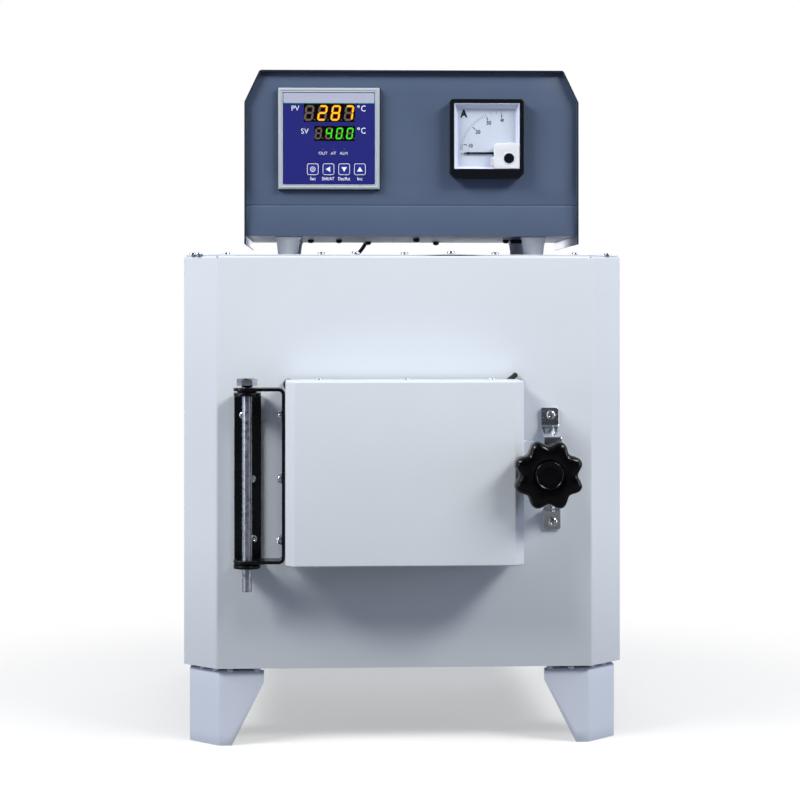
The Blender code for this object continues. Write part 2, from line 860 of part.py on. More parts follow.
def bracket_profile(reach, height):
    """A U of flat bar: its web at zero, its two arms reaching along minus X."""
    outer = hinge_sheet + hinge_bend
    inside = -hinge_sheet
    half = height / 2
    points = [(-reach, -half)]
    points += arc(outer, -90, 0, corner_steps, -outer, -half + outer)
    points += arc(outer, 0, 90, corner_steps, -outer, half - outer)
    points += [(-reach, half), (-reach, half - hinge_sheet)]
    points += arc(hinge_bend, 90, 0, corner_steps, inside - hinge_bend, half - outer)
    points += arc(hinge_bend, 0, -90, corner_steps, inside - hinge_bend, -half + outer)
    points += [(-reach, -half + hinge_sheet)]
    return points


def make_hinge():
    """Two U brackets on one bolt: one on the cabinet, one on the door's side."""
    web_x = door_left - seat_gap
    door_reach = hinge_reach - seat_gap + hinge_arm_radius + overrun
    door_bracket = plate("hinge_bracket_door", [bracket_profile(door_reach, hinge_height)],
                         2 * (hinge_arm_radius + overrun), "black_steel",
                         at(web_x, hinge_y, hinge_middle, FORWARDS))
    arm = arc(hinge_arm_radius, 90, 270, coarse_steps, hinge_x, hinge_y)
    arm += [(web_x + overrun, hinge_y - hinge_arm_radius),
            (web_x + overrun, hinge_y + hinge_arm_radius)]
    bore = circle(pin_radius + bore_gap, hinge_x, hinge_y)
    shape = plate("cut_door_bracket", [arm, bore], hinge_height + 2 * overrun, None,
                  at(0, 0, hinge_middle))
    combine(door_bracket, shape, "INTERSECT")

    ear_reach = hinge_proud - seat_gap + hinge_arm_radius + overrun
    cabinet_middle = cabinet_bracket_low + hinge_height / 2
    cabinet_bracket = plate("hinge_bracket_cabinet", [bracket_profile(ear_reach, hinge_height)],
                            2 * (hinge_arm_radius + overrun), "black_steel",
                            at(hinge_x, front_y - seat_gap, cabinet_middle,
                               Matrix.Rotation(math.radians(90), 4, "Z") @ FORWARDS))
    ear = arc(hinge_arm_radius, 180, 360, coarse_steps, hinge_x, hinge_y)
    ear += [(hinge_x + hinge_arm_radius, front_y + overrun),
            (hinge_x - hinge_arm_radius, front_y + overrun)]
    shape = plate("cut_cabinet_bracket", [ear, bore], hinge_height + 2 * overrun, None,
                  at(0, 0, cabinet_middle))
    combine(cabinet_bracket, shape, "INTERSECT")

    low_seat = cabinet_bracket_low + hinge_sheet + seat_gap
    high_seat = cabinet_bracket_low + hinge_height + seat_gap
    ring = [(hinge_washer_radius, hinge_washer), (hinge_washer_radius, 0),
            (pin_radius + bore_gap, 0), (pin_radius + bore_gap, hinge_washer)]
    for name, z in (("hinge_washer_lower", low_seat), ("hinge_washer_upper", high_seat)):
        shade(turned(name, ring, "zinc_steel", at(hinge_x, hinge_y, z), coarse_steps))

    head_z = door_bracket_low + hinge_height + seat_gap
    pin_length = head_z - cabinet_bracket_low + pin_tail
    head_radius = pin_head_flats / math.sqrt(3)
    pin = rod("hinge_pin", head_radius, pin_head_height,
              at(hinge_x, hinge_y, head_z + pin_head_height / 2), "zinc_steel", 6)
    shank_top = head_z + pin_head_height / 2
    shank_low = head_z - pin_length
    shank = rod("weld_pin_shank", pin_radius, shank_top - shank_low,
                at(hinge_x, hinge_y, (shank_top + shank_low) / 2))
    combine(pin, shank, "UNION")
    return [door_bracket]


def star_outline():
    """The knob's edge: the radius swings once for each lobe, valleys at the axes."""
    points = []
    total = knob_lobes * knob_lobe_points
    middle = knob_radius - knob_lobe_depth / 2
    for index in range(total):
        angle = math.tau * index / total
        radius = middle - knob_lobe_depth / 2 * math.cos(knob_lobes * angle)
        points.append((radius * math.cos(angle), radius * math.sin(angle)))
    return points


def make_latch_tongue():
    """An angle on the door's right side that carries the knob's spindle."""
    fold_x = door_right + seat_gap
    low, high = knob_z - tongue_below, knob_z + tongue_above
    y = front_y - tongue_proud
    shoulder_x = fold_x + tongue_shoulder
    end = arc(tongue_end_radius, -60, 60, end_steps, knob_x, knob_z)
    outline = [(fold_x, low), (shoulder_x, low)] + end + [(shoulder_x, high), (fold_x, high)]
    panels = [[(x, y, z) for x, z in outline]]
    panels.append([(fold_x, y, low), (fold_x, y, high), (fold_x, y + tongue_flange, high),
                   (fold_x, y + tongue_flange, low)])
    tongue = folded_sheet("latch_tongue", panels, tongue_sheet, "cabinet_enamel",
                          (fold_x, y - door_width, knob_z))
    drill(tongue, "cut_tongue_bore", on_front(knob_x, knob_z, tongue_proud),
          spindle_radius + bore_gap, 2 * (tongue_sheet + overrun))
    return tongue


def make_knob():
    """The star knob with its cap, on the spindle that carries the cam."""
    hub_back = tongue_proud + seat_gap
    star_back = hub_back + knob_hub_length
    star_front = star_back + knob_thickness
    knob = plate("star_knob", [star_outline()], knob_thickness, "black_plastic",
                 on_front(knob_x, knob_z, (star_back + star_front) / 2))
    soften(knob, knob_edge, 3)
    hub_length = knob_hub_length + knob_edge
    hub = rod("weld_knob_hub", knob_hub_radius, hub_length,
              on_front(knob_x, knob_z, hub_back + hub_length / 2))
    combine(knob, hub, "UNION")
    bore_front = hub_back + knob_bore_depth
    drill(knob, "cut_knob_bore", on_front(knob_x, knob_z, hub_back), spindle_radius + bore_gap,
          2 * (knob_bore_depth + seat_gap))
    drill(knob, "cut_knob_cap_seat", on_front(knob_x, knob_z, star_front),
          cap_radius + seat_gap, 2 * cap_inset, fine_steps)
    shade(knob)

    cap_back = star_front - cap_inset + seat_gap
    cap_profile = [(0, cap_thickness), (cap_radius - cap_edge, cap_thickness),
                   (cap_radius, cap_thickness - cap_edge), (cap_radius, 0), (0, 0)]
    cap = turned("knob_cap", cap_profile, "black_plastic", on_front(knob_x, knob_z, cap_back))
    shade(cap)

    collar_front = tongue_proud - tongue_sheet - seat_gap
    collar_back = collar_front - collar_length
    profile = [(0, bore_front), (spindle_radius, bore_front), (spindle_radius, collar_front),
               (collar_radius, collar_front), (collar_radius, collar_back),
               (spindle_radius, collar_back), (spindle_radius, cam_proud), (0, cam_proud)]
    spindle = turned("latch_spindle", profile, "zinc_steel", on_front(knob_x, knob_z, 0),
                     coarse_steps)
    cam_outline = arc(cam_width / 2, 180, 360, end_steps)
    cam_outline += arc(cam_width / 2, 0, 180, end_steps, 0, cam_length - cam_width / 2)
    cam = plate("weld_cam", [cam_outline], cam_thickness, None,
                on_front(knob_x, knob_z, cam_proud + cam_thickness / 2))
    combine(spindle, cam, "UNION")
    return [knob, cap, spindle]


def keeper_screw_places():
    """Each keeper screw's name, direction up or down, and height."""
    reach = keeper_bridge / 2 + keeper_slope + keeper_tab / 2
    return [("keeper_screw_upper", 1, knob_z + reach), ("keeper_screw_lower", -1, knob_z - reach)]


def make_keeper():
    """The bent strap that the cam turns behind, and its two screws."""
    half = keeper_bridge / 2
    foot = half + keeper_slope
    end = foot + keeper_tab
    back = seat_gap + keeper_sheet
    heights = [(end, back), (foot, back), (half, keeper_bulge), (-half, keeper_bulge),
               (-foot, back), (-end, back)]
    left, right = keeper_left, keeper_left + keeper_width
    panels = []
    for (up0, proud0), (up1, proud1) in zip(heights, heights[1:]):
        panels.append([(left, front_y - proud0, knob_z + up0),
                       (right, front_y - proud0, knob_z + up0),
                       (right, front_y - proud1, knob_z + up1),
                       (left, front_y - proud1, knob_z + up1)])
    strap = folded_sheet("keeper_strap", panels, keeper_sheet, "zinc_steel",
                         (knob_x, front_y - body_depth, knob_z))
    middle = keeper_left + keeper_width / 2
    for name, _, z in keeper_screw_places():
        drill(strap, "cut_strap_" + name, on_front(middle, z, back),
              keeper_screw_shank + bore_gap, 2 * (keeper_sheet + overrun), small_steps)
        head = back + seat_gap
        crown = head + keeper_screw_head
        tip = head - keeper_screw_length
        profile = [(0, crown), (keeper_screw_radius - keeper_screw_dome, crown),
                   (keeper_screw_radius, crown - keeper_screw_dome), (keeper_screw_radius, head),
                   (keeper_screw_shank, head), (keeper_screw_shank, tip), (0, tip)]
        shade(turned(name, profile, "zinc_steel", on_front(middle, z, 0), small_steps))


def control_profile(inset, low):
    """The control box from the front, moved in all round, open at the bottom."""
    half = control_width / 2 - inset
    slope = math.hypot(shoulder_across, shoulder_drop)
    across = shoulder_across - inset * (1 - (slope - shoulder_across) / shoulder_drop)
    drop = shoulder_drop - inset * (1 - (slope - shoulder_drop) / shoulder_across)
    top = control_top - inset
    right = [(half - across, top), (half, top - drop), (half, low)]
    left = [(-x, z) for x, z in reversed(right)]
    return [(x + control_shift, z) for x, z in left + right]


def make_control_case():
    """The control box: wrap cover, folded front panel, floor tray and back."""
    low = control_z - cover_flap
    profile = control_profile(0, low)
    panels = []
    for (x0, z0), (x1, z1) in zip(profile, profile[1:]):
        panels.append([(x0, control_front_y, z0), (x1, control_front_y, z1),
                       (x1, control_back_y, z1), (x0, control_back_y, z0)])
    folded_sheet("control_cover", panels, control_sheet, "control_enamel",
                 (control_shift - control_width, 0, control_top))

    inner = control_sheet + seat_gap
    crease_z = control_z + panel_crease
    upper = control_profile(inner, crease_z)
    face = [(x, panel_y, z) for x, z in upper]
    left_x, right_x = upper[0][0], upper[-1][0]
    kick_y = panel_y - panel_kick
    strip = [(left_x, panel_y, crease_z), (right_x, panel_y, crease_z),
             (right_x, kick_y, control_z), (left_x, kick_y, control_z)]
    panel = folded_sheet("control_panel", [face, strip], control_sheet, "control_enamel",
                         (control_shift, front_y - body_depth, control_top))
    for name, x, z, size in (
            ("cut_controller_hole", controller_x, controller_z,
             controller_body + 2 * panel_cutout_gap),
            ("cut_meter_hole", meter_x, meter_z, meter_body_size + 2 * panel_cutout_gap)):
        window = block(name, (x - size / 2, panel_y - overrun, z - size / 2),
                       (x + size / 2, panel_y + control_sheet + overrun, z + size / 2))
        combine(panel, window, "DIFFERENCE")

    tray_front = panel_y + control_sheet + seat_gap
    rear_face = control_back_y - panel_recess
    half = control_width / 2 - inner
    block("control_base", (control_shift - half, tray_front, control_z),
          (control_shift + half, rear_face - control_sheet - seat_gap, control_z + control_sheet),
          "control_enamel")

    outlines = [control_profile(inner, control_z)]
    outlines.append(circle(gland_shank_radius + bore_gap, lead_exit_across,
                           control_z + lead_exit_up))
    outlines.append(circle(mains_gland_shank_radius + bore_gap, mains_gland_across,
                           control_z + mains_gland_up))
    for row in range(control_vent_rows):
        for column in (-1, 0, 1):
            outlines.append(long_hole(vent_slot_length, vent_slot_height,
                                      control_shift + column * vent_column_pitch,
                                      control_top - vent_margin - row * vent_slot_pitch))
    plate("control_back", outlines, control_sheet, "control_enamel",
          at(0, rear_face - control_sheet / 2, 0, FORWARDS))


def make_control_feet():
    """Four tapered feet under the control box."""
    top = foot_height - seat_gap
    profile = [(0, top), (foot_top_radius, top), (foot_top_radius, top - foot_lip),
               (foot_top_radius - foot_step, top - foot_lip), (foot_toe_radius, seat_gap),
               (0, seat_gap)]
    for side, word in ((-1, "left"), (1, "right")):
        for setback, place in ((foot_front_setback, "front"), (foot_rear_setback, "rear")):
            shade(turned("control_foot_" + place + "_" + word, profile, "foot_plastic",
                         at(control_shift + side * foot_spread / 2, front_y + setback,
                            cabinet_top), coarse_steps))


def key_places():
    return [(name, controller_x + key_first_across + key_pitch * index, controller_z + key_up)
            for index, name in enumerate(key_names)]


def panel_box(name, x, z, width, height, back, front, finish=None):
    """A rectangular piece on the control panel, its depths proud of the panel."""
    return block(name, (x - width / 2, panel_y - front, z - height / 2),
                 (x + width / 2, panel_y - back, z + height / 2), finish)


def make_controller():
    """The temperature controller: housing, printed face, two displays, four keys."""
    front = seat_gap + controller_bezel
    floor = front - controller_face_sheet - seat_gap
    housing = panel_box("controller_housing", controller_x, controller_z, controller_size,
                        controller_size, seat_gap, front, "grey_plastic")
    body = panel_box("weld_controller_body", controller_x, controller_z, controller_body,
                     controller_body, -controller_body_depth, seat_gap + weld_reach)
    combine(housing, body, "UNION")
    seat = controller_face_size + 2 * seat_gap
    combine(housing, panel_box("cut_face_seat", controller_x, controller_z, seat, seat, floor,
                               front + overrun), "DIFFERENCE")
    key_hole = key_size + 2 * seat_gap
    key_back = front + key_rise - key_thickness
    pocket = key_back - key_travel - seat_gap
    for name, x, z in key_places():
        combine(housing, panel_box("cut_pocket_" + name, x, z, key_hole, key_hole, pocket,
                                   front), "DIFFERENCE")

    outlines = [rectangle(controller_face_size, controller_face_size)]
    outlines.append(rectangle(process_width, process_height, process_across, process_up))
    outlines.append(rectangle(set_width, set_height, set_across, set_up))
    for _, x, z in key_places():
        outlines.append(rectangle(key_hole, key_hole, x - controller_x, z - controller_z))
    face_middle = floor + seat_gap + controller_face_sheet / 2
    plate("controller_face", outlines, controller_face_sheet, "label_blue",
          at(controller_x, panel_y - face_middle, controller_z, FORWARDS))

    for name, x, z, width, height in (
            ("process_display", process_across, process_up, process_width, process_height),
            ("set_display", set_across, set_up, set_width, set_height)):
        panel_box(name, controller_x + x, controller_z + z, width - 2 * seat_gap,
                  height - 2 * seat_gap, floor + seat_gap, floor + seat_gap + display_thickness,
                  "display_black")
    return [panel_box(name, x, z, key_size, key_size, key_back, front + key_rise,
                      "label_blue") for name, x, z in key_places()]


def make_meter():
    """The ammeter: black case, dial, needle, movement cover, window, zero screw."""
    front = seat_gap + meter_front
    floor = front - meter_recess
    half_x, half_z = meter_width / 2, meter_height / 2
    outline = [(-half_x, -half_z + meter_corner), (-half_x + meter_corner, -half_z),
               (half_x - meter_corner, -half_z), (half_x, -half_z + meter_corner),
               (half_x, half_z), (-half_x, half_z)]
    housing = plate("ammeter_housing", [outline], meter_front, "black_plastic",
                    at(meter_x, panel_y - seat_gap - meter_front / 2, meter_z, FORWARDS))
    body = panel_box("weld_meter_body", meter_x, meter_z, meter_body_size, meter_body_size,
                     -meter_body_depth, seat_gap + weld_reach)
    combine(housing, body, "UNION")
    window_z = meter_z + half_z - meter_border - meter_window_size / 2
    combine(housing, panel_box("cut_meter_recess", meter_x, window_z, meter_window_size,
                               meter_window_size, floor, front + overrun), "DIFFERENCE")
    needle_at = at(needle_x, panel_y, needle_z, FORWARDS)
    shaft_hole = needle_shaft_radius + bore_gap
    drill(housing, "cut_meter_shaft", needle_at, shaft_hole,
          2 * (needle_shaft_length + seat_gap), small_steps)

    inner = meter_window_size - 2 * seat_gap
    dial_back = floor + seat_gap
    dial_front = dial_back + dial_thickness
    across, up = needle_x - meter_x, needle_z - window_z
    plate("ammeter_dial", [rectangle(inner, inner), circle(shaft_hole, across, up, small_steps)],
          dial_thickness, "dial_card",
          at(meter_x, panel_y - (dial_back + dial_front) / 2, window_z, FORWARDS))

    needle_back = dial_front + needle_lift
    half = needle_width / 2
    opening = math.degrees(math.asin(half / needle_hub_radius))
    pointer = arc(needle_hub_radius, -180 + opening, 180 - opening, small_steps)
    pointer += [(-needle_length, half), (-needle_length, -half)]
    needle = plate("ammeter_needle", [pointer], needle_sheet, "black_plastic",
                   at(needle_x, panel_y - needle_back - needle_sheet / 2, needle_z, FORWARDS))
    shaft_front = needle_back + needle_sheet / 2
    shaft_back = -needle_shaft_length
    shaft = rod("weld_needle_shaft", needle_shaft_radius, shaft_front - shaft_back,
                at(needle_x, panel_y - (shaft_front + shaft_back) / 2, needle_z, FORWARDS),
                sides=small_steps)
    combine(needle, shaft, "UNION")

    cover_size = movement_cover_size
    low_corner = -inner / 2
    high_corner = inner / 2
    cover_x = meter_x + high_corner - cover_size / 2
    cover_z = window_z + low_corner + cover_size / 2
    cover = panel_box("movement_cover", cover_x, cover_z, cover_size, cover_size,
                      dial_front + movement_cover_lift, front, "white_plastic")
    step = cover_size + seat_gap
    clear = [(low_corner, low_corner), (high_corner - step, low_corner),
             (high_corner - step, low_corner + step), (high_corner, low_corner + step),
             (high_corner, high_corner), (low_corner, high_corner)]
    plate("ammeter_window", [clear], window_thickness, "clear_window",
          at(meter_x, panel_y - front + window_thickness / 2, window_z, FORWARDS))

    drill(cover, "cut_zero_seat", at(zero_x, panel_y - front, zero_z, FORWARDS),
          zero_screw_radius + bore_gap, 2 * (zero_screw_seat + seat_gap))
    screw_back = front - zero_screw_seat
    screw = rod("zero_screw", zero_screw_radius, zero_screw_thickness,
                at(zero_x, panel_y - screw_back - zero_screw_thickness / 2, zero_z, FORWARDS),
                "black_plastic")
    screw_front = screw_back + zero_screw_thickness
    slot = panel_box("cut_zero_slot", zero_x, zero_z, 2 * (zero_screw_radius + overrun),
                     zero_slot_width, screw_front - zero_slot_depth, screw_front + overrun)
    combine(screw, slot, "DIFFERENCE")
    return needle, screw


def make_relay():
    """The power relay with its fins, standing on the control box floor."""
    low = control_z + control_sheet + seat_gap
    y = control_front_y + relay_setback
    relay = block("power_relay", (relay_x - relay_width / 2, y - relay_depth / 2, low),
                  (relay_x + relay_width / 2, y + relay_depth / 2, low + relay_height),
                  "zinc_steel")
    fin_pitch = relay_width / (relay_slots + 1)
    for index in range(relay_slots):
        x = relay_x - relay_width / 2 + fin_pitch * (index + 1)
        gap = block("cut_relay_slot_" + str(index),
                    (x - relay_slot_width / 2, y - relay_depth / 2 - overrun,
                     low + relay_base_height),
                    (x + relay_slot_width / 2, y + relay_depth / 2 + overrun,
                     low + relay_height + overrun))
        combine(relay, gap, "DIFFERENCE")


def lead_route():
    """Hand-chosen points of the thermocouple lead, from box to furnace back."""
    exit_y = control_back_y - panel_recess + gland_length + seat_gap
    start_z = control_z + lead_exit_up
    start_x, start_y, _ = control_turn @ Vector((lead_exit_across, exit_y, start_z))
    rest_z = cabinet_top + lead_diameter / 2 + 2 * seat_gap
    end_z = terminal_cover_top + gland_length + seat_gap
    x = lead_exit_across
    return [(start_x, start_y, start_z), (start_x, start_y + 0.006, start_z),
            (x - 0.003, start_y + 0.017, start_z - 0.007),
            (x - 0.010, start_y + 0.022, start_z - 0.020),
            (x - 0.015, start_y + 0.029, rest_z + 0.006),
            (x - 0.020, start_y + 0.039, rest_z + 0.001), (x - 0.027, start_y + 0.054, rest_z),
            (x - 0.031, start_y + 0.090, rest_z), (x - 0.022, start_y + 0.135, rest_z),
            (x - 0.006, start_y + 0.180, rest_z), (x, back_y - 0.008, rest_z + 0.001),
            (x, back_y + 0.006, rest_z - 0.0005), (x, back_y + 0.015, rest_z - 0.009),
            (x, lead_gland_y, rest_z - 0.024), (x, lead_gland_y, end_z + 0.016),
            (x, lead_gland_y, end_z)]


def smooth_route(route, spacing):
    """Points at an even spacing on a smooth curve through the route's points."""
    padded = [route[0]] + route + [route[-1]]
    dense = []
    for index in range(len(route) - 1):
        p0, p1, p2, p3 = (Vector(padded[index + offset]) for offset in range(4))
        for part in range(coarse_steps):
            t = part / coarse_steps
            dense.append(0.5 * (2 * p1 + (p2 - p0) * t + (2 * p0 - 5 * p1 + 4 * p2 - p3) * t * t
                                + (3 * p1 - p0 - 3 * p2 + p3) * t * t * t))
    dense.append(Vector(route[-1]))
    lengths = [0.0]
    for before, after in zip(dense, dense[1:]):
        lengths.append(lengths[-1] + (after - before).length)
    count = max(2, round(lengths[-1] / spacing))
    points = []
    for index in range(count + 1):
        wanted = lengths[-1] * index / count
        place = next(k for k, run in enumerate(lengths) if run >= wanted - weld_distance)
        points.append(dense[place])
    return points


def make_lead():
    points = smooth_route(lead_route(), 2 * lead_diameter)
    return tube("thermocouple_lead", points, lead_diameter, "lead_rubber")


def axis_empty(name, place):
    """The place that a moving piece turns or slides about."""
    guide = bpy.data.objects.new(name, None)
    guide.matrix_world = place
    parts.objects.link(guide)
    return guide


def hang(pieces, guide):
    """Parent pieces to their axis without moving them."""
    bpy.context.view_layer.update()
    for piece in pieces:
        piece.parent = guide
        piece.matrix_parent_inverse = guide.matrix_world.inverted()


make_cabinet()
make_legs()
make_chamber()
make_thermocouple()
make_terminals()
make_glands("lead_gland_furnace", at(lead_exit_across, lead_gland_y, terminal_cover_top),
            "heater_gland", at(heater_gland_across, lead_gland_y, terminal_cover_top))
door_pieces = make_door() + make_hinge() + [make_latch_tongue()]
knob_pieces = make_knob()
make_keeper()

furnace_objects = set(bpy.data.objects)
make_control_case()
make_control_feet()
control_wall_y = control_back_y - panel_recess
make_glands("lead_gland_control",
            at(lead_exit_across, control_wall_y, control_z + lead_exit_up, BACKWARDS),
            "mains_gland",
            at(mains_gland_across, control_wall_y, control_z + mains_gland_up, BACKWARDS))
key_pieces = make_controller()
needle_piece, screw_piece = make_meter()
make_relay()
for piece in set(bpy.data.objects) - furnace_objects:
    piece.matrix_world = control_turn @ piece.matrix_world
make_lead()

door_axis = axis_empty("door_axis", at(hinge_x, hinge_y, hinge_middle))
knob_axis = axis_empty("knob_axis", at(knob_x, front_y - tongue_proud, knob_z))
hang(door_pieces + [knob_axis], door_axis)
hang(knob_pieces, knob_axis)
for key_piece, (key_name, key_x, key_z) in zip(key_pieces, key_places()):
    hang([key_piece], axis_empty(key_name + "_guide", control_turn @ at(key_x, panel_y, key_z)))
hang([needle_piece], axis_empty("needle_axis", control_turn @ at(needle_x, panel_y, needle_z)))
hang([screw_piece], axis_empty("zero_screw_axis",
                               control_turn @ at(zero_x, panel_y, zero_z)))
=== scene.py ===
import math

import bmesh
import bpy
import numpy as np
from mathutils import Matrix, Vector


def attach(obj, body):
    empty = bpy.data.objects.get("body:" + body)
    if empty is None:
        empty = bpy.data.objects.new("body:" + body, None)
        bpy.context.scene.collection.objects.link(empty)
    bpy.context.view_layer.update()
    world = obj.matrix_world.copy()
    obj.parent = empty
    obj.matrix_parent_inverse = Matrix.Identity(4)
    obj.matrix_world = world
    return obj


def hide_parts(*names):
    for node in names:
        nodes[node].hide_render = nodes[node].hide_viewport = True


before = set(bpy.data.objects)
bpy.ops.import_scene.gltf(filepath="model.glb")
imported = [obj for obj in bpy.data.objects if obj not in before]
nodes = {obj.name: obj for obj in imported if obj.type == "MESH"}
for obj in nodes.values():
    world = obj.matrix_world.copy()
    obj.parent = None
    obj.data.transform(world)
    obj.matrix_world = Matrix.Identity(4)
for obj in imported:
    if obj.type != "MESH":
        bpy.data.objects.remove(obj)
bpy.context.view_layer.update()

# ---------------------------------------------------------------- camera, light and floor
# The furnace is seen from two metres away, three degrees from square on and level
# with the middle of the cabinet. A long lens keeps its sides nearly parallel.


def put(name, data):
    """A new object at the origin that shows the data."""
    made = bpy.data.objects.new(name, data)
    bpy.context.collection.objects.link(made)
    return made


camera_data = bpy.data.cameras.new("camera")
camera_data.lens, camera_data.sensor_width = 95.04, 36
camera_data.shift_y, camera_data.clip_end = -0.115, 50
camera = put("camera", camera_data)
camera.location = (-0.10941, -2.19421, 0.4138)
camera.rotation_euler = (math.radians(90), 0, math.radians(-3))
bpy.context.scene.camera = camera
bpy.context.scene.view_settings.view_transform = "Standard"


def colour(code, shade=1.0):
    """A hex sRGB colour as linear red, green and blue, times a shade, and one."""
    share = np.array([int(code[i:i + 2], 16) for i in (0, 2, 4)]) / 255
    linear = np.where(share <= 0.04045, share / 12.92, ((share + 0.055) / 1.055) ** 2.4)
    return (*(linear * shade).tolist(), 1.0)


def add_node(tree, kind, inputs=None, **settings):
    """One shader node; each input is given a value, a socket or a node for its result."""
    made = tree.nodes.new("ShaderNode" + kind)
    for name, value in settings.items():
        setattr(made, name, value)
    for socket, value in (inputs or {}).items():
        if isinstance(value, bpy.types.Node):
            value = value.outputs[2 if getattr(value, "data_type", "") == "RGBA" else 0]
        if isinstance(value, bpy.types.NodeSocket):
            tree.links.new(value, made.inputs[socket])
        else:
            made.inputs[socket].default_value = value
    return made


def emptied(owner):
    """The node tree of a new material or world, with nothing in it yet."""
    owner.use_nodes = True
    owner.node_tree.nodes.clear()
    return owner.node_tree


def light_paths(tree):
    """The kinds of ray, and one where the camera sees straight or through glass."""
    rays = add_node(tree, "LightPath").outputs
    return rays, add_node(tree, "Math", {0: rays["Is Camera Ray"], 1: rays["Is Transmission Ray"]},
                          operation="MAXIMUM")


# Softboxes: rectangular lamps, two high ones in front, two low fills and one behind.
for name, place, target_y, width, height, power, tint in (
        ("left_softbox", (-2.47, -1.63, 2.54), -0.20, 2.0, 0.8, 122, "FFFEF8"),
        ("right_softbox", (2.32, -1.83, 2.57), -0.20, 2.0, 0.8, 114, "FFFEF8"),
        ("low_left_fill", (-2.81, -1.22, 0.61), -0.20, 1.0, 1.0, 17, "D6DEFF"),
        ("low_right_fill", (2.84, -1.12, 0.61), -0.20, 1.0, 1.0, 19, "DCE3FF"),
        ("rear_softbox", (0.6, 3.1, 0.95), 0.20, 2.4, 1.2, 50, "F4F7FF")):
    lamp = bpy.data.lights.new(name, "AREA")
    lamp.shape = "RECTANGLE"
    lamp.size, lamp.size_y, lamp.energy, lamp.color = width, height, power, colour(tint)[:3]
    aim = Vector((0, target_y, 0.35)) - Vector(place)
    put(name, lamp).matrix_world = (Matrix.Translation(place)
                                    @ aim.to_track_quat("-Z", "Y").to_matrix().to_4x4())

# The room is a white sweep. What the camera, metal and glass see of it is white, but
# the side that the camera stands on is dim, which is why the black knob stays black.
world = bpy.data.worlds.new("white_studio")
bpy.context.scene.world = world
tree = emptied(world)
rays, seen = light_paths(tree)
direction = add_node(tree, "SeparateXYZ", {0: add_node(tree, "TexCoord").outputs["Generated"]})
ahead = add_node(tree, "MapRange", {"Value": direction.outputs["Y"], "From Min": -0.5, "From Max": 0.3,
                                    "To Min": 0.035, "To Max": 0.95}, interpolation_type="SMOOTHSTEP")
mirrored = add_node(tree, "Mix", {"Factor": rays["Is Glossy Ray"], 2: 0.12, 3: ahead})
strength = add_node(tree, "Mix", {"Factor": seen, 2: mirrored, 3: 1.0})
haze = add_node(tree, "Mix", {"Factor": seen, 6: colour("E2E7FB"), 7: colour("FFFFFF")},
                data_type="RGBA")
add_node(tree, "OutputWorld", {"Surface": add_node(tree, "Background", {"Color": haze,
                                                                        "Strength": strength})})

# The floor is pale paper that takes the furnace's shadow, and further out it is as
# white as the sweep behind it. It throws little light back up, because the shadow
# below the door is deep in the photograph.
floor_reach = 8.0
floor_mesh = bpy.data.meshes.new("studio_floor")
floor_mesh.from_pydata([(x * floor_reach, y * floor_reach, 0)
                        for x, y in ((-1, -1), (1, -1), (1, 1), (-1, 1))], [], [(0, 1, 2, 3)])
floor = put("studio_floor", floor_mesh)
paper = bpy.data.materials.new("white_paper_sweep")
tree = emptied(paper)
rays, seen = light_paths(tree)
away = add_node(tree, "VectorMath", {0: add_node(tree, "TexCoord").outputs["Object"]},
                operation="LENGTH")
fade = add_node(tree, "MapRange", {"Value": away.outputs["Value"], "From Min": 0.22, "From Max": 0.75,
                                   "To Min": 0.45}, interpolation_type="SMOOTHSTEP")
blend = add_node(tree, "Math", {0: seen, 1: fade}, operation="MULTIPLY")
paper_tone = add_node(tree, "Mix", {"Factor": rays["Is Camera Ray"], 6: colour("6C6E70"),
                                    7: colour("F2F3F5")}, data_type="RGBA")
matt = add_node(tree, "BsdfDiffuse", {"Color": paper_tone})
glow = add_node(tree, "Emission", {"Color": colour("FFFFFF"), "Strength": 1.0})
add_node(tree, "OutputMaterial", {"Surface": add_node(tree, "MixShader", {0: blend, 1: matt,
                                                                          2: glow})})
floor_mesh.materials.append(paper)

# ---------------------------------------------------------------- thermocouple lead
# A thin black rubber lead runs from the gland on the control box's back down to the
# cabinet's top, along it and over the rear edge, into the terminal cover's gland.
front_y, back_y = -0.1972, 0.2528
cabinet_top = 0.4645
control_shift = 0.0090
control_front_y, control_back_y = -0.1952, 0.0148
control_z = 0.482
control_pivot = np.array([control_shift, (control_front_y + control_back_y) / 2, 0])
control_rotation = np.array(Matrix.Rotation(math.radians(-1.3), 3, "Z"))


def on_control(points):
    """Points of the control box as built square, turned with it about its middle."""
    return (np.asarray(points) - control_pivot) @ control_rotation.T + control_pivot


lead_diameter, lead_x, lead_rest = 0.004, -0.020, 0.4671
lead_exit = on_control((lead_x, 0.0221, 0.500))
lead_drop_y = back_y + 0.018
lead_route = np.array(
    [lead_exit, lead_exit + (0, 0.006, 0)]
    + [(lead_x - aside, lead_exit[1] + back, lead_rest + rise) for aside, back, rise in (
        (0.003, 0.017, 0.0259), (0.010, 0.022, 0.0129), (0.015, 0.029, 0.006),
        (0.020, 0.039, 0.001), (0.027, 0.054, 0), (0.031, 0.090, 0), (0.022, 0.135, 0),
        (0.006, 0.180, 0))]
    + [(lead_x, back_y + back, lead_rest + rise) for back, rise in (
        (-0.008, 0.001), (0.006, -0.0005), (0.015, -0.009), (0.018, -0.024),
        (0.018, -0.0883), (0.018, -0.1043))])


def travelled(line):
    """How far along a line of points each of them lies."""
    return np.hstack([0, np.cumsum(np.linalg.norm(np.diff(line, axis=0), axis=1))])


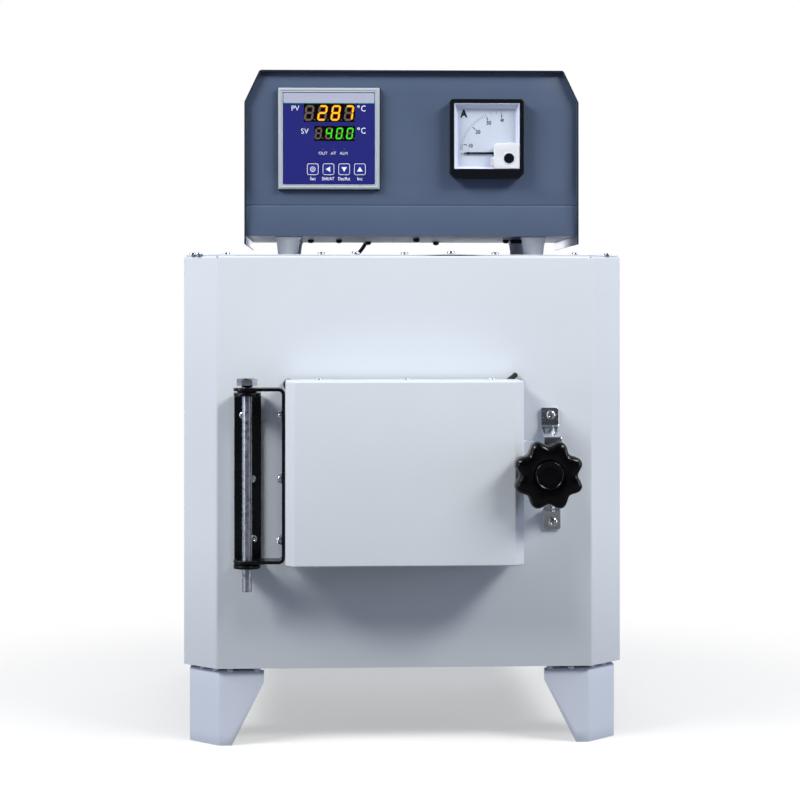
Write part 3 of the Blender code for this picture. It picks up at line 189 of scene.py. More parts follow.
def smooth_route(route, spacing):
    """A line through every point of a route, with each tangent set by its neighbours.

    Between two points it is the cubic Hermite curve whose end slopes are half the
    difference of the points on either side, cut into steps of about the spacing.
    """
    before = np.vstack([2 * route[0] - route[1], route[:-1]])
    after = np.vstack([route[1:], 2 * route[-1] - route[-2]])
    slope = (after - before) / 2
    counts = np.maximum(1, np.round(np.linalg.norm(np.diff(route, axis=0), axis=1) / spacing))
    stretch = np.repeat(np.arange(len(counts)), counts.astype(int))
    first = np.repeat(np.cumsum(counts) - counts, counts.astype(int))
    t = ((np.arange(len(stretch)) - first) / counts[stretch])[:, None]
    line = ((2 * t**3 - 3 * t**2 + 1) * route[stretch] + (t**3 - 2 * t**2 + t) * slope[stretch]
            + (3 * t**2 - 2 * t**3) * route[stretch + 1] + (t**3 - t**2) * slope[stretch + 1])
    return np.vstack([line, route[-1:]])


def add_line(curve, points, closed=False):
    """One straight-sided spline of a curve, through the points."""
    spline = curve.splines.new("POLY")
    spline.points.add(len(points) - 1)
    spline.points.foreach_set("co", np.hstack([points, np.ones((len(points), 1))]).ravel())
    spline.use_cyclic_u = closed


lead_line = smooth_route(lead_route, lead_diameter)
lead_curve = bpy.data.curves.new("thermocouple_lead_sheath", "CURVE")
lead_curve.dimensions = "3D"
lead_curve.bevel_depth, lead_curve.bevel_resolution = lead_diameter / 2, 5
lead_curve.use_fill_caps = True
add_line(lead_curve, lead_line)
lead = put("thermocouple_lead_sheath", lead_curve)


def surface(name, slot, dark, light=None, grain=(0.5, 3, 0.5), flecks=(0, 1), gloss=0.5,
            relief=None, fine=None, stretch=(1, 1, 1), pits=0.0, shades=(1, 1), shader=None):
    """A procedural material, led by a noise. The slot it is given is not used.

    The noise is given by its size in mm, detail and roughness. As it rises through the
    flecks' two values the tone goes from dark to light, each times its shade, and with no
    light it is dark all over. Gloss is a roughness, or two of them and the noise's values
    at which they are reached. Relief is a bump's strength and its depth in mm, made by
    the same noise or by a fine one of a size in mm, drawn out where stretch is small, and
    by pits round scattered points.
    """
    material = bpy.data.materials.new(name)
    tree = emptied(material)
    spot = add_node(tree, "TexCoord").outputs["Object"]
    size_mm, detail, rough = grain
    cloud = add_node(tree, "TexNoise", {"Vector": spot, "Scale": 1000 / size_mm,
                                        "Detail": detail, "Roughness": rough})
    tone = colour(dark)
    if light:
        share = add_node(tree, "MapRange", {"Value": cloud, "From Min": flecks[0],
                                            "From Max": flecks[1]})
        tone = add_node(tree, "Mix", {"Factor": share, 6: colour(dark, shades[0]),
                                      7: colour(light, shades[1])}, data_type="RGBA")
    inputs = {"Base Color": tone, "Roughness": gloss, **(shader or {})}
    if isinstance(gloss, tuple):
        low, high, start, end = gloss
        inputs["Roughness"] = add_node(tree, "MapRange", {
            "Value": cloud, "From Min": start, "From Max": end, "To Min": low, "To Max": high})
    height = cloud
    if fine:
        along = add_node(tree, "Mapping", {"Vector": spot, "Scale": stretch})
        height = add_node(tree, "TexNoise", {"Vector": along, "Scale": 1000 / fine, "Detail": 2})
    if pits:
        hole = add_node(tree, "TexVoronoi", {"Vector": spot, "Scale": 250 / size_mm})
        pit = add_node(tree, "MapRange", {"Value": hole, "From Min": 0.05, "From Max": 0.25,
                                          "To Min": -pits, "To Max": 0.0})
        height = add_node(tree, "Math", {0: height, 1: pit}, operation="ADD")
    if relief:
        inputs["Normal"] = add_node(tree, "Bump", {"Height": height, "Strength": relief[0],
                                                   "Distance": relief[1] / 1000})
    add_node(tree, "OutputMaterial", {"Surface": add_node(tree, "BsdfPrincipled", inputs)})
    return material


# Rubber-sheathed cable: extruded, so dull black with a faint dusty bloom on it.
rubber = surface("extruded_rubber_sheath", "lead_rubber", "0E0E10", "1D1D20", (10 / 3, 3, 0.5),
                 gloss=0.55, shader={"IOR": 1.5})
lead_curve.materials.append(rubber)
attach(lead, "furnace")
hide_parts("thermocouple_lead")

# ---------------------------------------------------------------- cabinet
# The cabinet is one wrap of 1.5 mm sheet steel with its front corners folded off at 45
# degrees and its top edge rolled inwards, powder coated light grey. A flat top sheet is
# screwed down on the roll, and a floor and a back close the wrap.
half_width, base_z, corner_chamfer = 0.210, 0.0735, 0.032
wrap_top = cabinet_top - 0.0012


def unit(vectors):
    """The rows of an array, each made one long."""
    return vectors / np.linalg.norm(vectors, axis=1)[:, None]


def rounded_path(corners, radii, steps, closed=False):
    """A path whose corners give way to arcs that touch both neighbouring sides.

    With turn the angle between the sides, an arc starts radius * tan(turn / 2) before
    the corner. Its points are that start, moved along the first side by
    radius * sin(a) and across it by radius * (1 - cos(a)), with a from 0 to turn.
    """
    corners = np.asarray(corners, float)
    if closed:
        corners = np.vstack([corners[-1:], corners, corners[:1]])
    sides = unit(np.diff(corners, axis=0))
    before, after = sides[:-1], sides[1:]
    turn = np.arctan2(before[:, 0] * after[:, 1] - before[:, 1] * after[:, 0],
                      (before * after).sum(1))
    across = np.stack([-before[:, 1], before[:, 0]], 1) * np.sign(turn)[:, None]
    radii = np.broadcast_to(np.asarray(radii, float), turn.shape)
    turn = np.abs(turn)
    angle = turn[:, None] * np.linspace(0, 1, steps + 1)
    start = corners[1:-1] - before * (radii * np.tan(turn / 2))[:, None]
    arcs = (start[:, None] + before[:, None] * (radii[:, None] * np.sin(angle))[..., None]
            + across[:, None] * (radii[:, None] * (1 - np.cos(angle)))[..., None])
    path = arcs.reshape(-1, 2)
    if not closed:
        path = np.vstack([corners[:1], path, corners[-1:]])
    step = np.linalg.norm(path - np.roll(path, 1, axis=0), axis=1) > 1e-8
    step[0] = step[0] or not closed
    return path[step]


def mirrored_path(half):
    """The points of a path's left half, then its right half as their mirror image."""
    return half + [(-x, y) for x, y in half[::-1]]


def walls(path, insets, closed=False):
    """Plan points: each point of a path moved to its left by each of the insets."""
    step = unit(np.roll(path, -1, axis=0) - path)
    run = step + np.roll(step, 1, axis=0)
    if not closed:
        run[0], run[-1] = step[0], step[-2]
    run = unit(run)
    left = np.stack([-run[:, 1], run[:, 0]], 1)
    return path[:, None] + left[:, None] * np.asarray(insets)[:, None]


def stacked(x, y, z):
    """Points whose three coordinates are spread to one common grid."""
    return np.stack(np.broadcast_arrays(x, y, z), -1)


def grid_faces(rows, columns, close_rows=False, close_columns=False):
    """Four-cornered faces over a grid of rows by columns, wrapped round where closed."""
    i = np.arange(rows if close_rows else rows - 1)[:, None]
    j = np.arange(columns if close_columns else columns - 1)[None, :]
    i, j = np.broadcast_arrays(i, j)
    up, right = (i + 1) % rows, (j + 1) % columns
    corners = [i * columns + j, up * columns + j, up * columns + right, i * columns + right]
    return np.stack(corners, -1).reshape(-1, 4)


def capped(points, both=True, close_rows=False):
    """A grid of points with its faces and one over its last column, or over both ends."""
    rows, columns = points.shape[:2]
    order = np.arange(rows * columns).reshape(rows, columns)
    ends = [order[:, -1].tolist()] + ([order[::-1, 0].tolist()] if both else [])
    return points, grid_faces(rows, columns, close_rows).tolist() + ends


def make_mesh(name, points, faces):
    """A mesh from arrays of points and of faces, or from a list of faces of any length."""
    mesh = bpy.data.meshes.new(name)
    mesh.from_pydata(np.asarray(points, float).reshape(-1, 3), [],
                     [[int(corner) for corner in face] for face in faces])
    return mesh


def settle(name, shape, finish, node=None, body="furnace", sharp=35):
    """A mesh, or points and faces, as a piece: closed, painted, carried, for a CAD node.

    Doubled points are merged, which closes seams and poles. Edges that turn by more than
    the angle sharp stay crisp.
    """
    mesh = make_mesh(name, *shape) if isinstance(shape, tuple) else shape
    work = bmesh.new()
    work.from_mesh(mesh)
    bmesh.ops.remove_doubles(work, verts=work.verts, dist=2e-6)
    bmesh.ops.dissolve_degenerate(work, edges=work.edges, dist=1e-7)
    bmesh.ops.recalc_face_normals(work, faces=work.faces)
    work.to_mesh(mesh)
    work.free()
    mesh.polygons.foreach_set("use_smooth", np.ones(len(mesh.polygons), bool))
    mesh.set_sharp_from_angle(angle=math.radians(sharp))
    finishes = finish if isinstance(finish, tuple) else (finish,)
    for each in finishes:
        mesh.materials.append(each)
    piece = put(name, mesh)
    if mesh.get("eased"):
        # Big flats keep their own normal, so they shade level beside a rounded edge.
        piece.modifiers.new("level_flats", "WEIGHTED_NORMAL").keep_sharp = True
    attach(piece, body)
    if node:
        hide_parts(node)
    return piece


def evaluated(bench):
    """The mesh that an object comes to after its modifiers; the object itself goes."""
    bpy.context.view_layer.update()
    graph = bpy.context.evaluated_depsgraph_get()
    done = bpy.data.meshes.new_from_object(bench.evaluated_get(graph))
    bpy.data.objects.remove(bench)
    return done


def worked(mesh, *modifiers):
    """A mesh after modifiers, each given as its kind and a dictionary of its settings."""
    bench = put("bench", mesh)
    for kind, settings in modifiers:
        modifier = bench.modifiers.new(kind.lower(), kind)
        for setting, value in settings.items():
            setattr(modifier, setting, value)
    return evaluated(bench)


def sheet_metal(shape, thickness, edge=0.0002):
    """A surface given a sheet's thickness behind it, with its cut edges just broken."""
    thick = ("SOLIDIFY", dict(thickness=thickness, offset=-1, use_even_offset=True,
                              use_quality_normals=True))
    broken = ("BEVEL", dict(width=edge, segments=2, limit_method="ANGLE",
                            angle_limit=math.radians(60), use_clamp_overlap=True))
    return worked(make_mesh("sheet", *shape), thick, broken)


# Powder coat: a baked polyester skin, satin, with a fine orange peel whose bumps are
# about 1.5 mm across and a few hundredths deep. It is a cool, very light grey.
def powder_coat(name, slot, code, roughness, peel_mm=1.5, depth_mm=0.03):
    """A satin powder coat whose peel has the given size and depth."""
    return surface(name, slot, code, code, (1000 / 9, 3, 0.5), shades=(0.97, 1.03),
                   gloss=(roughness - 0.03, roughness + 0.04, 0.3, 0.7),
                   relief=(0.5, depth_mm), fine=peel_mm, shader={"IOR": 1.5})


cabinet_coat = powder_coat("light_grey_powder_coat", "cabinet_enamel", "D3DAE3", 0.42)

# The wrap: point (i, j) is path point i in plan, moved inwards by inset j, at height j.
# The last heights roll in through a quarter turn of 2.5 mm under the top sheet. Each
# fold has a small notch in the roll, cut so that the sheet can fold there.
mouth_half, mouth_low, mouth_high, wrap_roll = 0.0823, 0.1992, 0.3238, 0.0025
left_folds = [(-half_width, back_y), (-half_width, front_y + corner_chamfer),
              (-half_width + corner_chamfer, front_y)]
right_folds = [(-x, y) for x, y in left_folds[::-1]]
wrap_path = rounded_path(mirrored_path(left_folds + [(-mouth_half, front_y)]), 0.004, 8)
roll = np.linspace(0, math.pi / 2, 7)
wrap_plan = walls(wrap_path, np.hstack([[0, 0, 0], wrap_roll * (1 - np.cos(roll)), [0.0038]]))
wrap_heights = np.hstack([[base_z, mouth_low, mouth_high],
                          wrap_top - wrap_roll + wrap_roll * np.sin(roll), [wrap_top]])
wrap_points = stacked(wrap_plan[..., 0], wrap_plan[..., 1], wrap_heights)
wrap_faces = grid_faces(*wrap_points.shape[:2])
middle = wrap_points.reshape(-1, 3)[wrap_faces].mean(1)
in_mouth = ((np.abs(middle[:, 0]) < mouth_half) & (middle[:, 1] < front_y + 0.001)
            & (middle[:, 2] > mouth_low) & (middle[:, 2] < mouth_high))
folds = np.array(left_folds[1:] + right_folds[:2])
near_fold = np.linalg.norm(middle[:, None, :2] - folds[None], axis=2).min(1) < 0.0022
in_notch = near_fold & (middle[:, 2] > wrap_top - 0.0021)
settle("cabinet_wrap", sheet_metal((wrap_points, wrap_faces[~(in_mouth | in_notch)]), 0.0015),
       cabinet_coat, "cabinet_shell")

# The top sheet: its outline in plan, shrunk by an inset at each height, so its upper edge
# is rounded over, and then drawn in to a share of its size for the flat of both faces. It
# lies 1.9 mm behind the wrap's faces, so that the roll under it catches the light. Between
# two of its front screws it bows up by a millimetre.
bow_start, bow_end, bow_rise, run_steps = 0.004, 0.088, 0.0009, 41
run_end = half_width - corner_chamfer - 0.004
front_run = [(x, front_y) for x in np.linspace(-run_end, run_end, run_steps)]
sheet_path = rounded_path(left_folds + front_run + right_folds, [0.0032, 0.0034, 0.0034]
                          + [0] * run_steps + [0.0034, 0.0034, 0.0032], 4, closed=True)
sheet_shares = np.array([0.85, 0.95, 1, 1, 1, 1, 1, 0.95, 0.85])[:, None]
sheet_heights = cabinet_top + np.array([-1.1, -1.1, -1.1, -0.9, -0.4, -0.1, 0, 0, 0]) / 1000
sheet_middle = np.array([0, (front_y + back_y) / 2])
sheet_plan = walls(sheet_path, 0.0019 + np.array([2, 2, 2, 0, 0, 1, 4, 4, 4]) / 10000, closed=True)
sheet_plan = sheet_middle + (sheet_plan - sheet_middle) * sheet_shares
bow_share = np.clip((sheet_plan[..., 0] - bow_start) / (bow_end - bow_start), 0, 1)
bow = bow_rise * np.sin(math.pi * bow_share) ** 2 * ((sheet_shares[:, 0] - 0.85) / 0.15) ** 2
bow = bow * (sheet_plan[..., 1] < front_y + 0.031)
settle("cabinet_top_sheet", capped(stacked(sheet_plan[..., 0], sheet_plan[..., 1],
                                           sheet_heights + bow), close_rows=True),
       cabinet_coat, "top_panel")
for name in ("base_panel", "rear_panel"):
    nodes[name].data.materials[0] = cabinet_coat

# ---------------------------------------------------------------- legs
# Each leg is 2 mm sheet folded round a corner of the cabinet, tapered to a 12 mm toe on
# both sides and powder coated. A flange at its top is held by spaced bolts, which leaves
# a narrow dark gap under the cabinet.
leg_inset, leg_facet, leg_toe, leg_skirt, leg_top = 0.0055, 0.0424, 0.012, 0.0132, 0.0706
leg_roll, leg_levels = 0.0028, 7
leg_slide = leg_inset * (math.sqrt(2) - 1)
front_bend = [(half_width - corner_chamfer - leg_slide, front_y + leg_inset),
              (half_width - leg_inset, front_y + corner_chamfer + leg_slide)]
rear_bend = [(half_width - leg_inset, back_y - leg_inset)]
leg_arc = np.linspace(0, math.pi / 2, 6)[1:]
leg_insets = np.hstack([[0] * leg_levels, leg_roll * (1 - np.cos(leg_arc))])
# The legs' coat is a shade darker than the cabinet's. This is painted shade, for the dimmer light that
# reaches them.
leg_coat_painted_shade = powder_coat("grey_powder_coat_painted_shade", "cabinet_enamel", "C8D0DF", 0.42)
for side, word in ((-1, "left"), (1, "right")):
    for end, bends, along in (("front", front_bend, 1), ("rear", rear_bend, -1)):
        # The plan path runs from the inner end over the folds to the far end, and the
        # lower edge is a straight line between the heights of its stations.
        first, last = bends[0], bends[-1]
        stations = [(first[0] - leg_facet, first[1]), (first[0] - leg_toe, first[1]), *bends,
                    (last[0], last[1] + along * leg_toe), (last[0], last[1] + along * leg_facet)]
        edge_heights = np.zeros(len(stations))
        edge_heights[[0, -1]] = leg_top - leg_skirt + 0.0026
        path = rounded_path(stations, 0.003, 6)
        travel = travelled(path)
        marks = np.linalg.norm(path[:, None] - np.array(stations)[None], axis=2).argmin(0)
        low = np.interp(travel, travel[marks], edge_heights)[:, None]
        heights = np.hstack([low + (leg_top - leg_roll - low) * np.linspace(0, 1, leg_levels),
                             low * 0 + leg_top - leg_roll + leg_roll * np.sin(leg_arc)])
        plan = walls(path, leg_insets * along)
        points, faces = capped(stacked(plan[..., 0], plan[..., 1], heights), both=False)
        if side * along < 0:
            faces = [face[::-1] for face in faces]
        name = "leg_" + end + "_" + word
        settle(name + "_folded", sheet_metal((points * (side, 1, 1), faces), 0.002), leg_coat_painted_shade, name)

# ---------------------------------------------------------------- cabinet screws
# Nickel-plated pan-head screws hold the top sheet down along its edges, M4 with a cross
# recess and a head 7.5 mm across. Plain bolts with thick heads space the legs.


def mm(rows):
    """Numbers in millimetres as an array in metres."""
    return np.array(rows, float) / 1000


def whole_turn(steps):
    """Angles all round, evenly spaced."""
    return np.linspace(0, 2 * math.pi, steps, endpoint=False)


def frames(normals, spins):
    """One right-handed set of axes per normal, its third axis along the normal.

    The first axis is the world axis least like the normal made square to it, turned
    about the normal by the spin.
    """
    third = unit(np.asarray(normals, float))
    guide = np.where(np.abs(third[:, 2:3]) > 0.9, [[1.0, 0, 0]], [[0, 0, 1.0]])
    first = unit(guide - third * (guide * third).sum(1)[:, None])
    second = np.cross(third, first)
    cos, sin = np.cos(spins)[:, None], np.sin(spins)[:, None]
    return np.stack([first * cos + second * sin, second * cos - first * sin, third], 1)


def round_axis(angle, r, h, place=(0, 0, 0), facing=(0, 0, 1), spin=0.0):
    """Points r cos a, r sin a, h about an axis that leaves the place, facing a way."""
    local = stacked(r * np.cos(angle)[:, None], r * np.sin(angle)[:, None], h)
    axes = frames([facing], np.array([spin]))[0]
    return local.reshape(-1, 3) @ axes + place, grid_faces(*local.shape[:2], close_rows=True)


def repeated(shape, places, normals, spins=0.0):
    """One shape set down at many places: each point times each place's axes, plus it."""
    points, faces = shape
    places = np.asarray(places, float)
    axes = frames(np.broadcast_to(normals, places.shape), np.broadcast_to(spins, len(places)))
    spread = np.einsum("pk,nkx->npx", points, axes) + places[:, None]
    shift = (np.arange(len(places)) * len(points))[:, None, None]
    return spread.reshape(-1, 3), (faces + shift).reshape(-1, faces.shape[-1])


def cross_pan_head(radius, height, recess, width, depth, around=32):
    """A pan head with a cross recess, as rings of points at one angle each, from mm.

    The cross's edge lies at min(recess / |cos a|, width / |sin a|) with the angle a
    folded into an eighth of a turn. Rings run from a sunk floor at parts of that edge up
    its wall, then out over a dome of height * (1 - (r / radius)^2 * 0.35) that rounds
    down to the rim, and back under the head.
    """
    radius, height, recess, width, depth = mm([radius, height, recess, width, depth])
    angle = whole_turn(around)
    folded = np.abs((angle + math.pi / 4) % (math.pi / 2) - math.pi / 4)
    edge = np.minimum(recess / np.cos(folded), width / np.maximum(np.sin(folded), 1e-6))
    zero = np.zeros(around)

    def dome(r):
        return height * (1 - 0.35 * (r / radius) ** 2)

    rings = [(zero, zero + height - depth), (edge * 0.7, zero + height - depth),
             (edge * 0.9, zero + height - depth * 0.8), (edge, dome(edge) - height * 0.02),
             (edge * 1.06, dome(edge * 1.06))]
    for share in (0.72, 0.88, 0.96, 0.995):
        r = zero + radius * share
        rings.append((r, dome(r) * (1 - max(0, share - 0.86) ** 2 * 9)))
    rings += [(zero + radius, zero + height * 0.30), (zero + radius * 0.985, zero),
              (zero + radius * 0.5, zero), (zero, zero)]
    return round_axis(angle, *(np.stack(part, 1) for part in zip(*rings)))


def metal_finish(name, dark, light, low, high, spot_mm, **brushing):
    """A plated metal whose tone and gloss drift with a cloudy noise of the given size."""
    return surface(name, "zinc_steel", dark, light, (spot_mm, 4, 0.6), gloss=(low, high, 0.3, 0.7),
                   shader={"Metallic": 1.0}, **brushing)


# Nickel plating: bright, with slightly cloudy gloss.
nickel = metal_finish("nickel_plated_steel", "D0D4DC", "F0F2F6", 0.18, 0.30, 3.0)
pan_head = cross_pan_head(3.75, 2.6, 1.9, 0.48, 1.3)
upwards, outwards = np.array([0, 0, 1.0]), np.array([0, -1.0, 0])
top_screws = mm([
    (-201, -173.5, 0), (-169, -190, 0), (-79, -190, 0), (-46.5, -190, 0.9), (0, -190, 0),
    (44.2, -189.5, 1.2), (86.5, -190, 0), (163.5, -190, 0), (196, -177, 0), (-202.5, -50, 0),
    (-202.5, 80, 0), (-202.5, 200, 0), (202.5, -50, 0), (202.5, 80, 0), (202.5, 200, 0),
    (-120, 245.5, 0), (-50, 245.5, 0), (50, 245.5, 0), (120, 245.5, 0), (-195.5, -180, 0)])
settle("top_sheet_screws", repeated(pan_head, top_screws + upwards * (cabinet_top - 0.0001), upwards,
                                    (np.arange(len(top_screws)) * 1.93) % 1.57), nickel, sharp=40)

# The spacer bolts between each leg's flange and the cabinet's floor.
bolts = mm([(-165.5, -191.5, 0), (-139.5, -191.5, 0), (138.5, -191.5, 0), (159, -191.5, 0),
            (179, -187, 0), (191.5, -174.5, 0), (-179, -187, 0), (-191.5, -174.5, 0),
            (-200.5, -140, 0), (200.5, -140, 0), (-200.5, 215, 0), (200.5, 215, 0),
            (-170, 243.5, 0), (170, 243.5, 0)])
settle("leg_spacer_bolts", repeated(cross_pan_head(3.0, 3.1, 1.5, 0.4, 1.0, around=24),
                                    bolts + upwards * (leg_top - 0.0002), upwards),
       cabinet_coat, sharp=40)

# ---------------------------------------------------------------- door
# The door is a box of 1.5 mm sheet, folded and welded, with its front edges folded off
# at 45 degrees and powder coated as the cabinet. A rope gasket lies round its back, and
# a refractory plug behind it closes the chamber's mouth.
door_shift, door_width, door_proud = -0.003, 0.220, 0.064
door_middle, door_height, door_chamfer = 0.2615, 0.170, 0.0085
door_left, door_right = door_shift - door_width / 2, door_shift + door_width / 2
door_top, door_bottom = door_middle + door_height / 2, door_middle - door_height / 2
door_gap, door_front, door_roll = 0.0066, front_y - door_proud, 0.0016

# The shell: at each step the plan outline, from the left rear over the front to the right
# rear, is drawn in by an inset at a height. A quarter turn of 1.6 mm at the top and the
# bottom takes the side walls over into flat flanges that reach back to the middle.
door_path = rounded_path(mirrored_path([
    (-door_width / 2, front_y - door_gap), (-door_width / 2, door_front + door_chamfer),
    (door_chamfer - door_width / 2, door_front)]), 0.0022, 6) + (door_shift, 0)
arc = np.linspace(0, math.pi / 2, 7)
turned_in, turned_up = door_roll * (1 - np.sin(arc[:-1])), door_roll * (1 - np.cos(arc[:-1]))
plan = walls(door_path, np.hstack([[0.0022], turned_in, [0, 0], turned_in[::-1], [0.0022]]))
plan[[0, -1], :, 1] = front_y - door_gap
heights = np.hstack([[0], turned_up, [door_roll]])
heights = np.hstack([door_bottom + heights, door_top - heights[::-1]])
settle("door_shell_folded", sheet_metal(capped(stacked(plan[..., 0], plan[..., 1], heights)), 0.0015),
       cabinet_coat, "door_shell", "door")

# Small pan-head screws hold the lining plate through the door's top and bottom flanges.
door_screws = [(x, front_y - 0.022, z) for z in (door_top, door_bottom)
               for x in (-0.0820, 0.0000, 0.0810)]
settle("door_flange_screws", repeated(cross_pan_head(3.0, 1.9, 1.5, 0.4, 0.9, around=24), door_screws,
                                      [upwards] * 3 + [-upwards] * 3, np.arange(6) * 0.7),
       nickel, body="door", sharp=40)


# The rope gasket: braided glass yarn, soot black with grey flecks. It runs once round the
# door and one end has come loose at the upper right corner.
def round_tube(line, radius, around, ripple, strands):
    """A tube along a line of points in a plane of equal y, with rounded ends and a braid.

    Point (i, j) is line point i plus radius * (1 - ripple + ripple * |sin(strands/2 *
    (a - s)) * sin(strands/2 * (a + s))|) along the direction at angle a round the line.
    For each six radii along the line, s grows by a turn divided by the strands.
    """
    step = unit(np.gradient(line, axis=0))
    first = unit(-outwards - step * (-outwards * step).sum(1)[:, None])
    second = np.cross(step, first)
    angle, travel = whole_turn(around), travelled(line)
    twist = (travel / (6 * radius) * 2 * math.pi / strands)[:, None]
    braid = np.abs(np.sin(strands / 2 * (angle - twist)) * np.sin(strands / 2 * (angle + twist)))
    end = np.minimum(travel, travel[-1] - travel)
    taper = np.sqrt(1 - (1 - np.clip(end / radius, 0, 1)) ** 2)[:, None]
    reach = radius * taper * (1 - ripple + ripple * braid)
    points = (line[:, None] + first[:, None] * (reach * np.cos(angle))[..., None]
              + second[:, None] * (reach * np.sin(angle))[..., None])
    return points, grid_faces(len(line), around, close_columns=True)


def evenly(line, spacing):
    """The same line with its points one spacing apart, each between two of the old ones."""
    travel = travelled(line)
    stops = np.linspace(0, travel[-1], int(travel[-1] / spacing) + 2)
    return np.stack([np.interp(stops, travel, line[:, k]) for k in range(line.shape[1])], 1)


rope_x, rope_z = door_width / 2 - 0.009, door_height / 2 - 0.009
rope_route = [(rope_x + 0.0083, rope_z + 0.0142), (rope_x - 0.0090, rope_z),
              (0.012 - rope_x, rope_z + 0.0020), (-rope_x - 0.0122, rope_z + 0.0092),
              (0.001 - rope_x, rope_z - 0.012), (-rope_x, -rope_z), (rope_x, -rope_z),
              (rope_x, rope_z - 0.020)]
rope_plan = rounded_path(rope_route, [0.006, 0.006, 0.0028, 0.006, 0.012, 0.012], 8)
rope_line = stacked(rope_plan[:, 0] + door_shift, front_y - door_gap / 2,
                    rope_plan[:, 1] + door_middle)
braided_glass = surface("braided_glass_rope", "gasket_rope", "08090A", "34373C", (10 / 7, 4, 0.5),
                        flecks=(0.45, 0.75), gloss=0.85, relief=(0.6, 0.2),
                        shader={"Sheen Weight": 0.08})
settle("gasket_rope", round_tube(evenly(rope_line, 0.0006), 0.0027, 18, 0.16, 6), braided_glass,
       "door_gasket", "door", sharp=60)

# ---------------------------------------------------------------- chamber
# Behind the door lie the cast refractory muffle and the door's plug, ceramic fibre
# wool round them, a plated frame at the mouth and a lining plate on the door's back.


def eased(node, width, turn=30, segments=2, cuts=()):
    """A copy of a CAD node, its triangles made flats again and its edges rounded over.

    What lies beyond a cut, a plane given by a point and its outward normal, is taken off.
    """
    work = bmesh.new()
    work.from_mesh(nodes[node].data)
    bmesh.ops.remove_doubles(work, verts=work.verts, dist=1e-6)
    for place, normal in cuts:
        bmesh.ops.bisect_plane(work, geom=work.verts[:] + work.edges[:] + work.faces[:],
                               plane_co=place, plane_no=normal, clear_outer=True)
        bmesh.ops.holes_fill(work, edges=[edge for edge in work.edges if edge.is_boundary])
    bmesh.ops.dissolve_limit(work, angle_limit=math.radians(0.5), verts=work.verts,
                             edges=work.edges)
    mesh = bpy.data.meshes.new(node + "_eased")
    work.to_mesh(mesh)
    work.free()
    mesh = worked(mesh, ("BEVEL", dict(width=width, segments=segments, limit_method="ANGLE",
                                       angle_limit=math.radians(turn))))
    mesh["eased"] = True
    return mesh


def dress(name, node, finish, width, *easing, body="furnace"):
    """A CAD node's own form with its edges eased, as the piece that stands in for it."""
    settle(name, eased(node, width, *easing), finish, node, body)


def mineral(name, slot, dark, light, grain_mm, depth_mm, pits=0.0):
    """A chalky mineral surface: a grainy noise for tone and bump, with optional pits."""
    return surface(name, slot, dark, light, (grain_mm, 5, 0.65), gloss=0.92,
                   relief=(0.7, depth_mm), pits=pits)


# Cast refractory is sandy and slightly pitted; fibre wool is whiter and felted; the
# sheath and the terminal block are fired, dense and nearly smooth.
cast_refractory = mineral("cast_refractory", "refractory", "C9BFAE", "EAE3D6", 2.0, 0.35, pits=0.6)
fibre_wool = mineral("ceramic_fibre_wool", "ceramic_fibre", "DAD7D0", "F4F2EE", 3.0, 0.8)
fired_ceramic = mineral("fired_ceramic", "sheath_ceramic", "DCD8CF", "ECE9E2", 1.0, 0.05)
dress("muffle_cast", "muffle", cast_refractory, 0.0015)
dress("door_plug_cast", "door_plug", cast_refractory, 0.002, 30, 3, body="door")
dress("thermocouple_sheath", "thermocouple_probe", fired_ceramic, 0.0008, 50)
dress("terminal_block_fired", "terminal_block", fired_ceramic, 0.0004)
for name in ("insulation", "door_insulation"):
    nodes[name].data.materials[0] = fibre_wool

# The mouth frame and the lining plate are zinc plated, cloudy and dulled by heat.
dull_zinc = metal_finish("zinc_plated_plate", "9A9B9A", "C6C7C5", 0.32, 0.48, 12.0)
dress("mouth_frame_plated", "mouth_frame", dull_zinc, 0.0003)
dress("door_lining_plate", "door_back_plate", dull_zinc, 0.0003, body="door")

# The heating wire is iron-chrome, grey brown with its oxide.
nodes["heating_coil"].data.materials[0] = metal_finish("oxidised_heating_wire", "5A534C", "847A70",
                                                       0.50, 0.65, 4.0)

# ---------------------------------------------------------------- hinge
# Two brackets of 3 mm flat bar, bent to a U and painted satin black, share one long
# plated hex bolt. One is screwed to the cabinet and the other to the door's side.
hinge_x, hinge_y, bar, head_seat = -0.1486, front_y - 0.032, 0.003, 0.3400

# Brushed black paint: satin, worn a little thin, with dust in it.
black_paint = surface("satin_black_paint", "black_steel", "06070B", "1C1D22", (100 / 13, 5, 0.6),
                      flecks=(0.62, 0.80), gloss=(0.20, 0.34, 0, 1), relief=(0.3, 0.1),
                      shader={"Specular IOR Level": 0.35})
for end, body in (("cabinet", "furnace"), ("door", "door")):
    dress("hinge_bracket_on_" + end, "hinge_bracket_" + end, black_paint, 0.0005, 50, 3, body=body)


def turned_surface(profile, place, facing, around=40):
    """A lathe shape: profile point (r, h), in mm, turned about an axis."""
    return round_axis(whole_turn(around), *mm(profile).T, place, facing)


def hex_head(flats, height, place, facing, spin=0.0):
    """A hexagon head, its top corners cut by a 30 degree cone.

    At angle a the side is flats / 2 / cos(a folded into a twelfth of a turn) away, and the
    top lies at the height less tan(30 degrees) times how far the point is beyond the
    circle that just fits inside the flats.
    """
    angle = whole_turn(72)
    folded = np.abs((angle + math.pi / 6) % (math.pi / 3) - math.pi / 6)
    side, inside = flats / 2 / np.cos(folded), flats / 2 * 0.955
    ring = np.minimum(side, inside)
    middle = (side + ring) / 2
    zero = np.zeros_like(side)

    def top(r):
        return height - np.maximum(0, r - inside) * math.tan(math.radians(30))

    rings = [(zero, zero + height), (ring * 0.85, zero + height), (ring, zero + height),
             (middle, top(middle)), (side, top(side)), (side, zero + 0.0003),
             (side - 0.0004, zero), (zero, zero)]
    return round_axis(angle, *(np.stack(part, 1) for part in zip(*rings)), place, facing, spin)


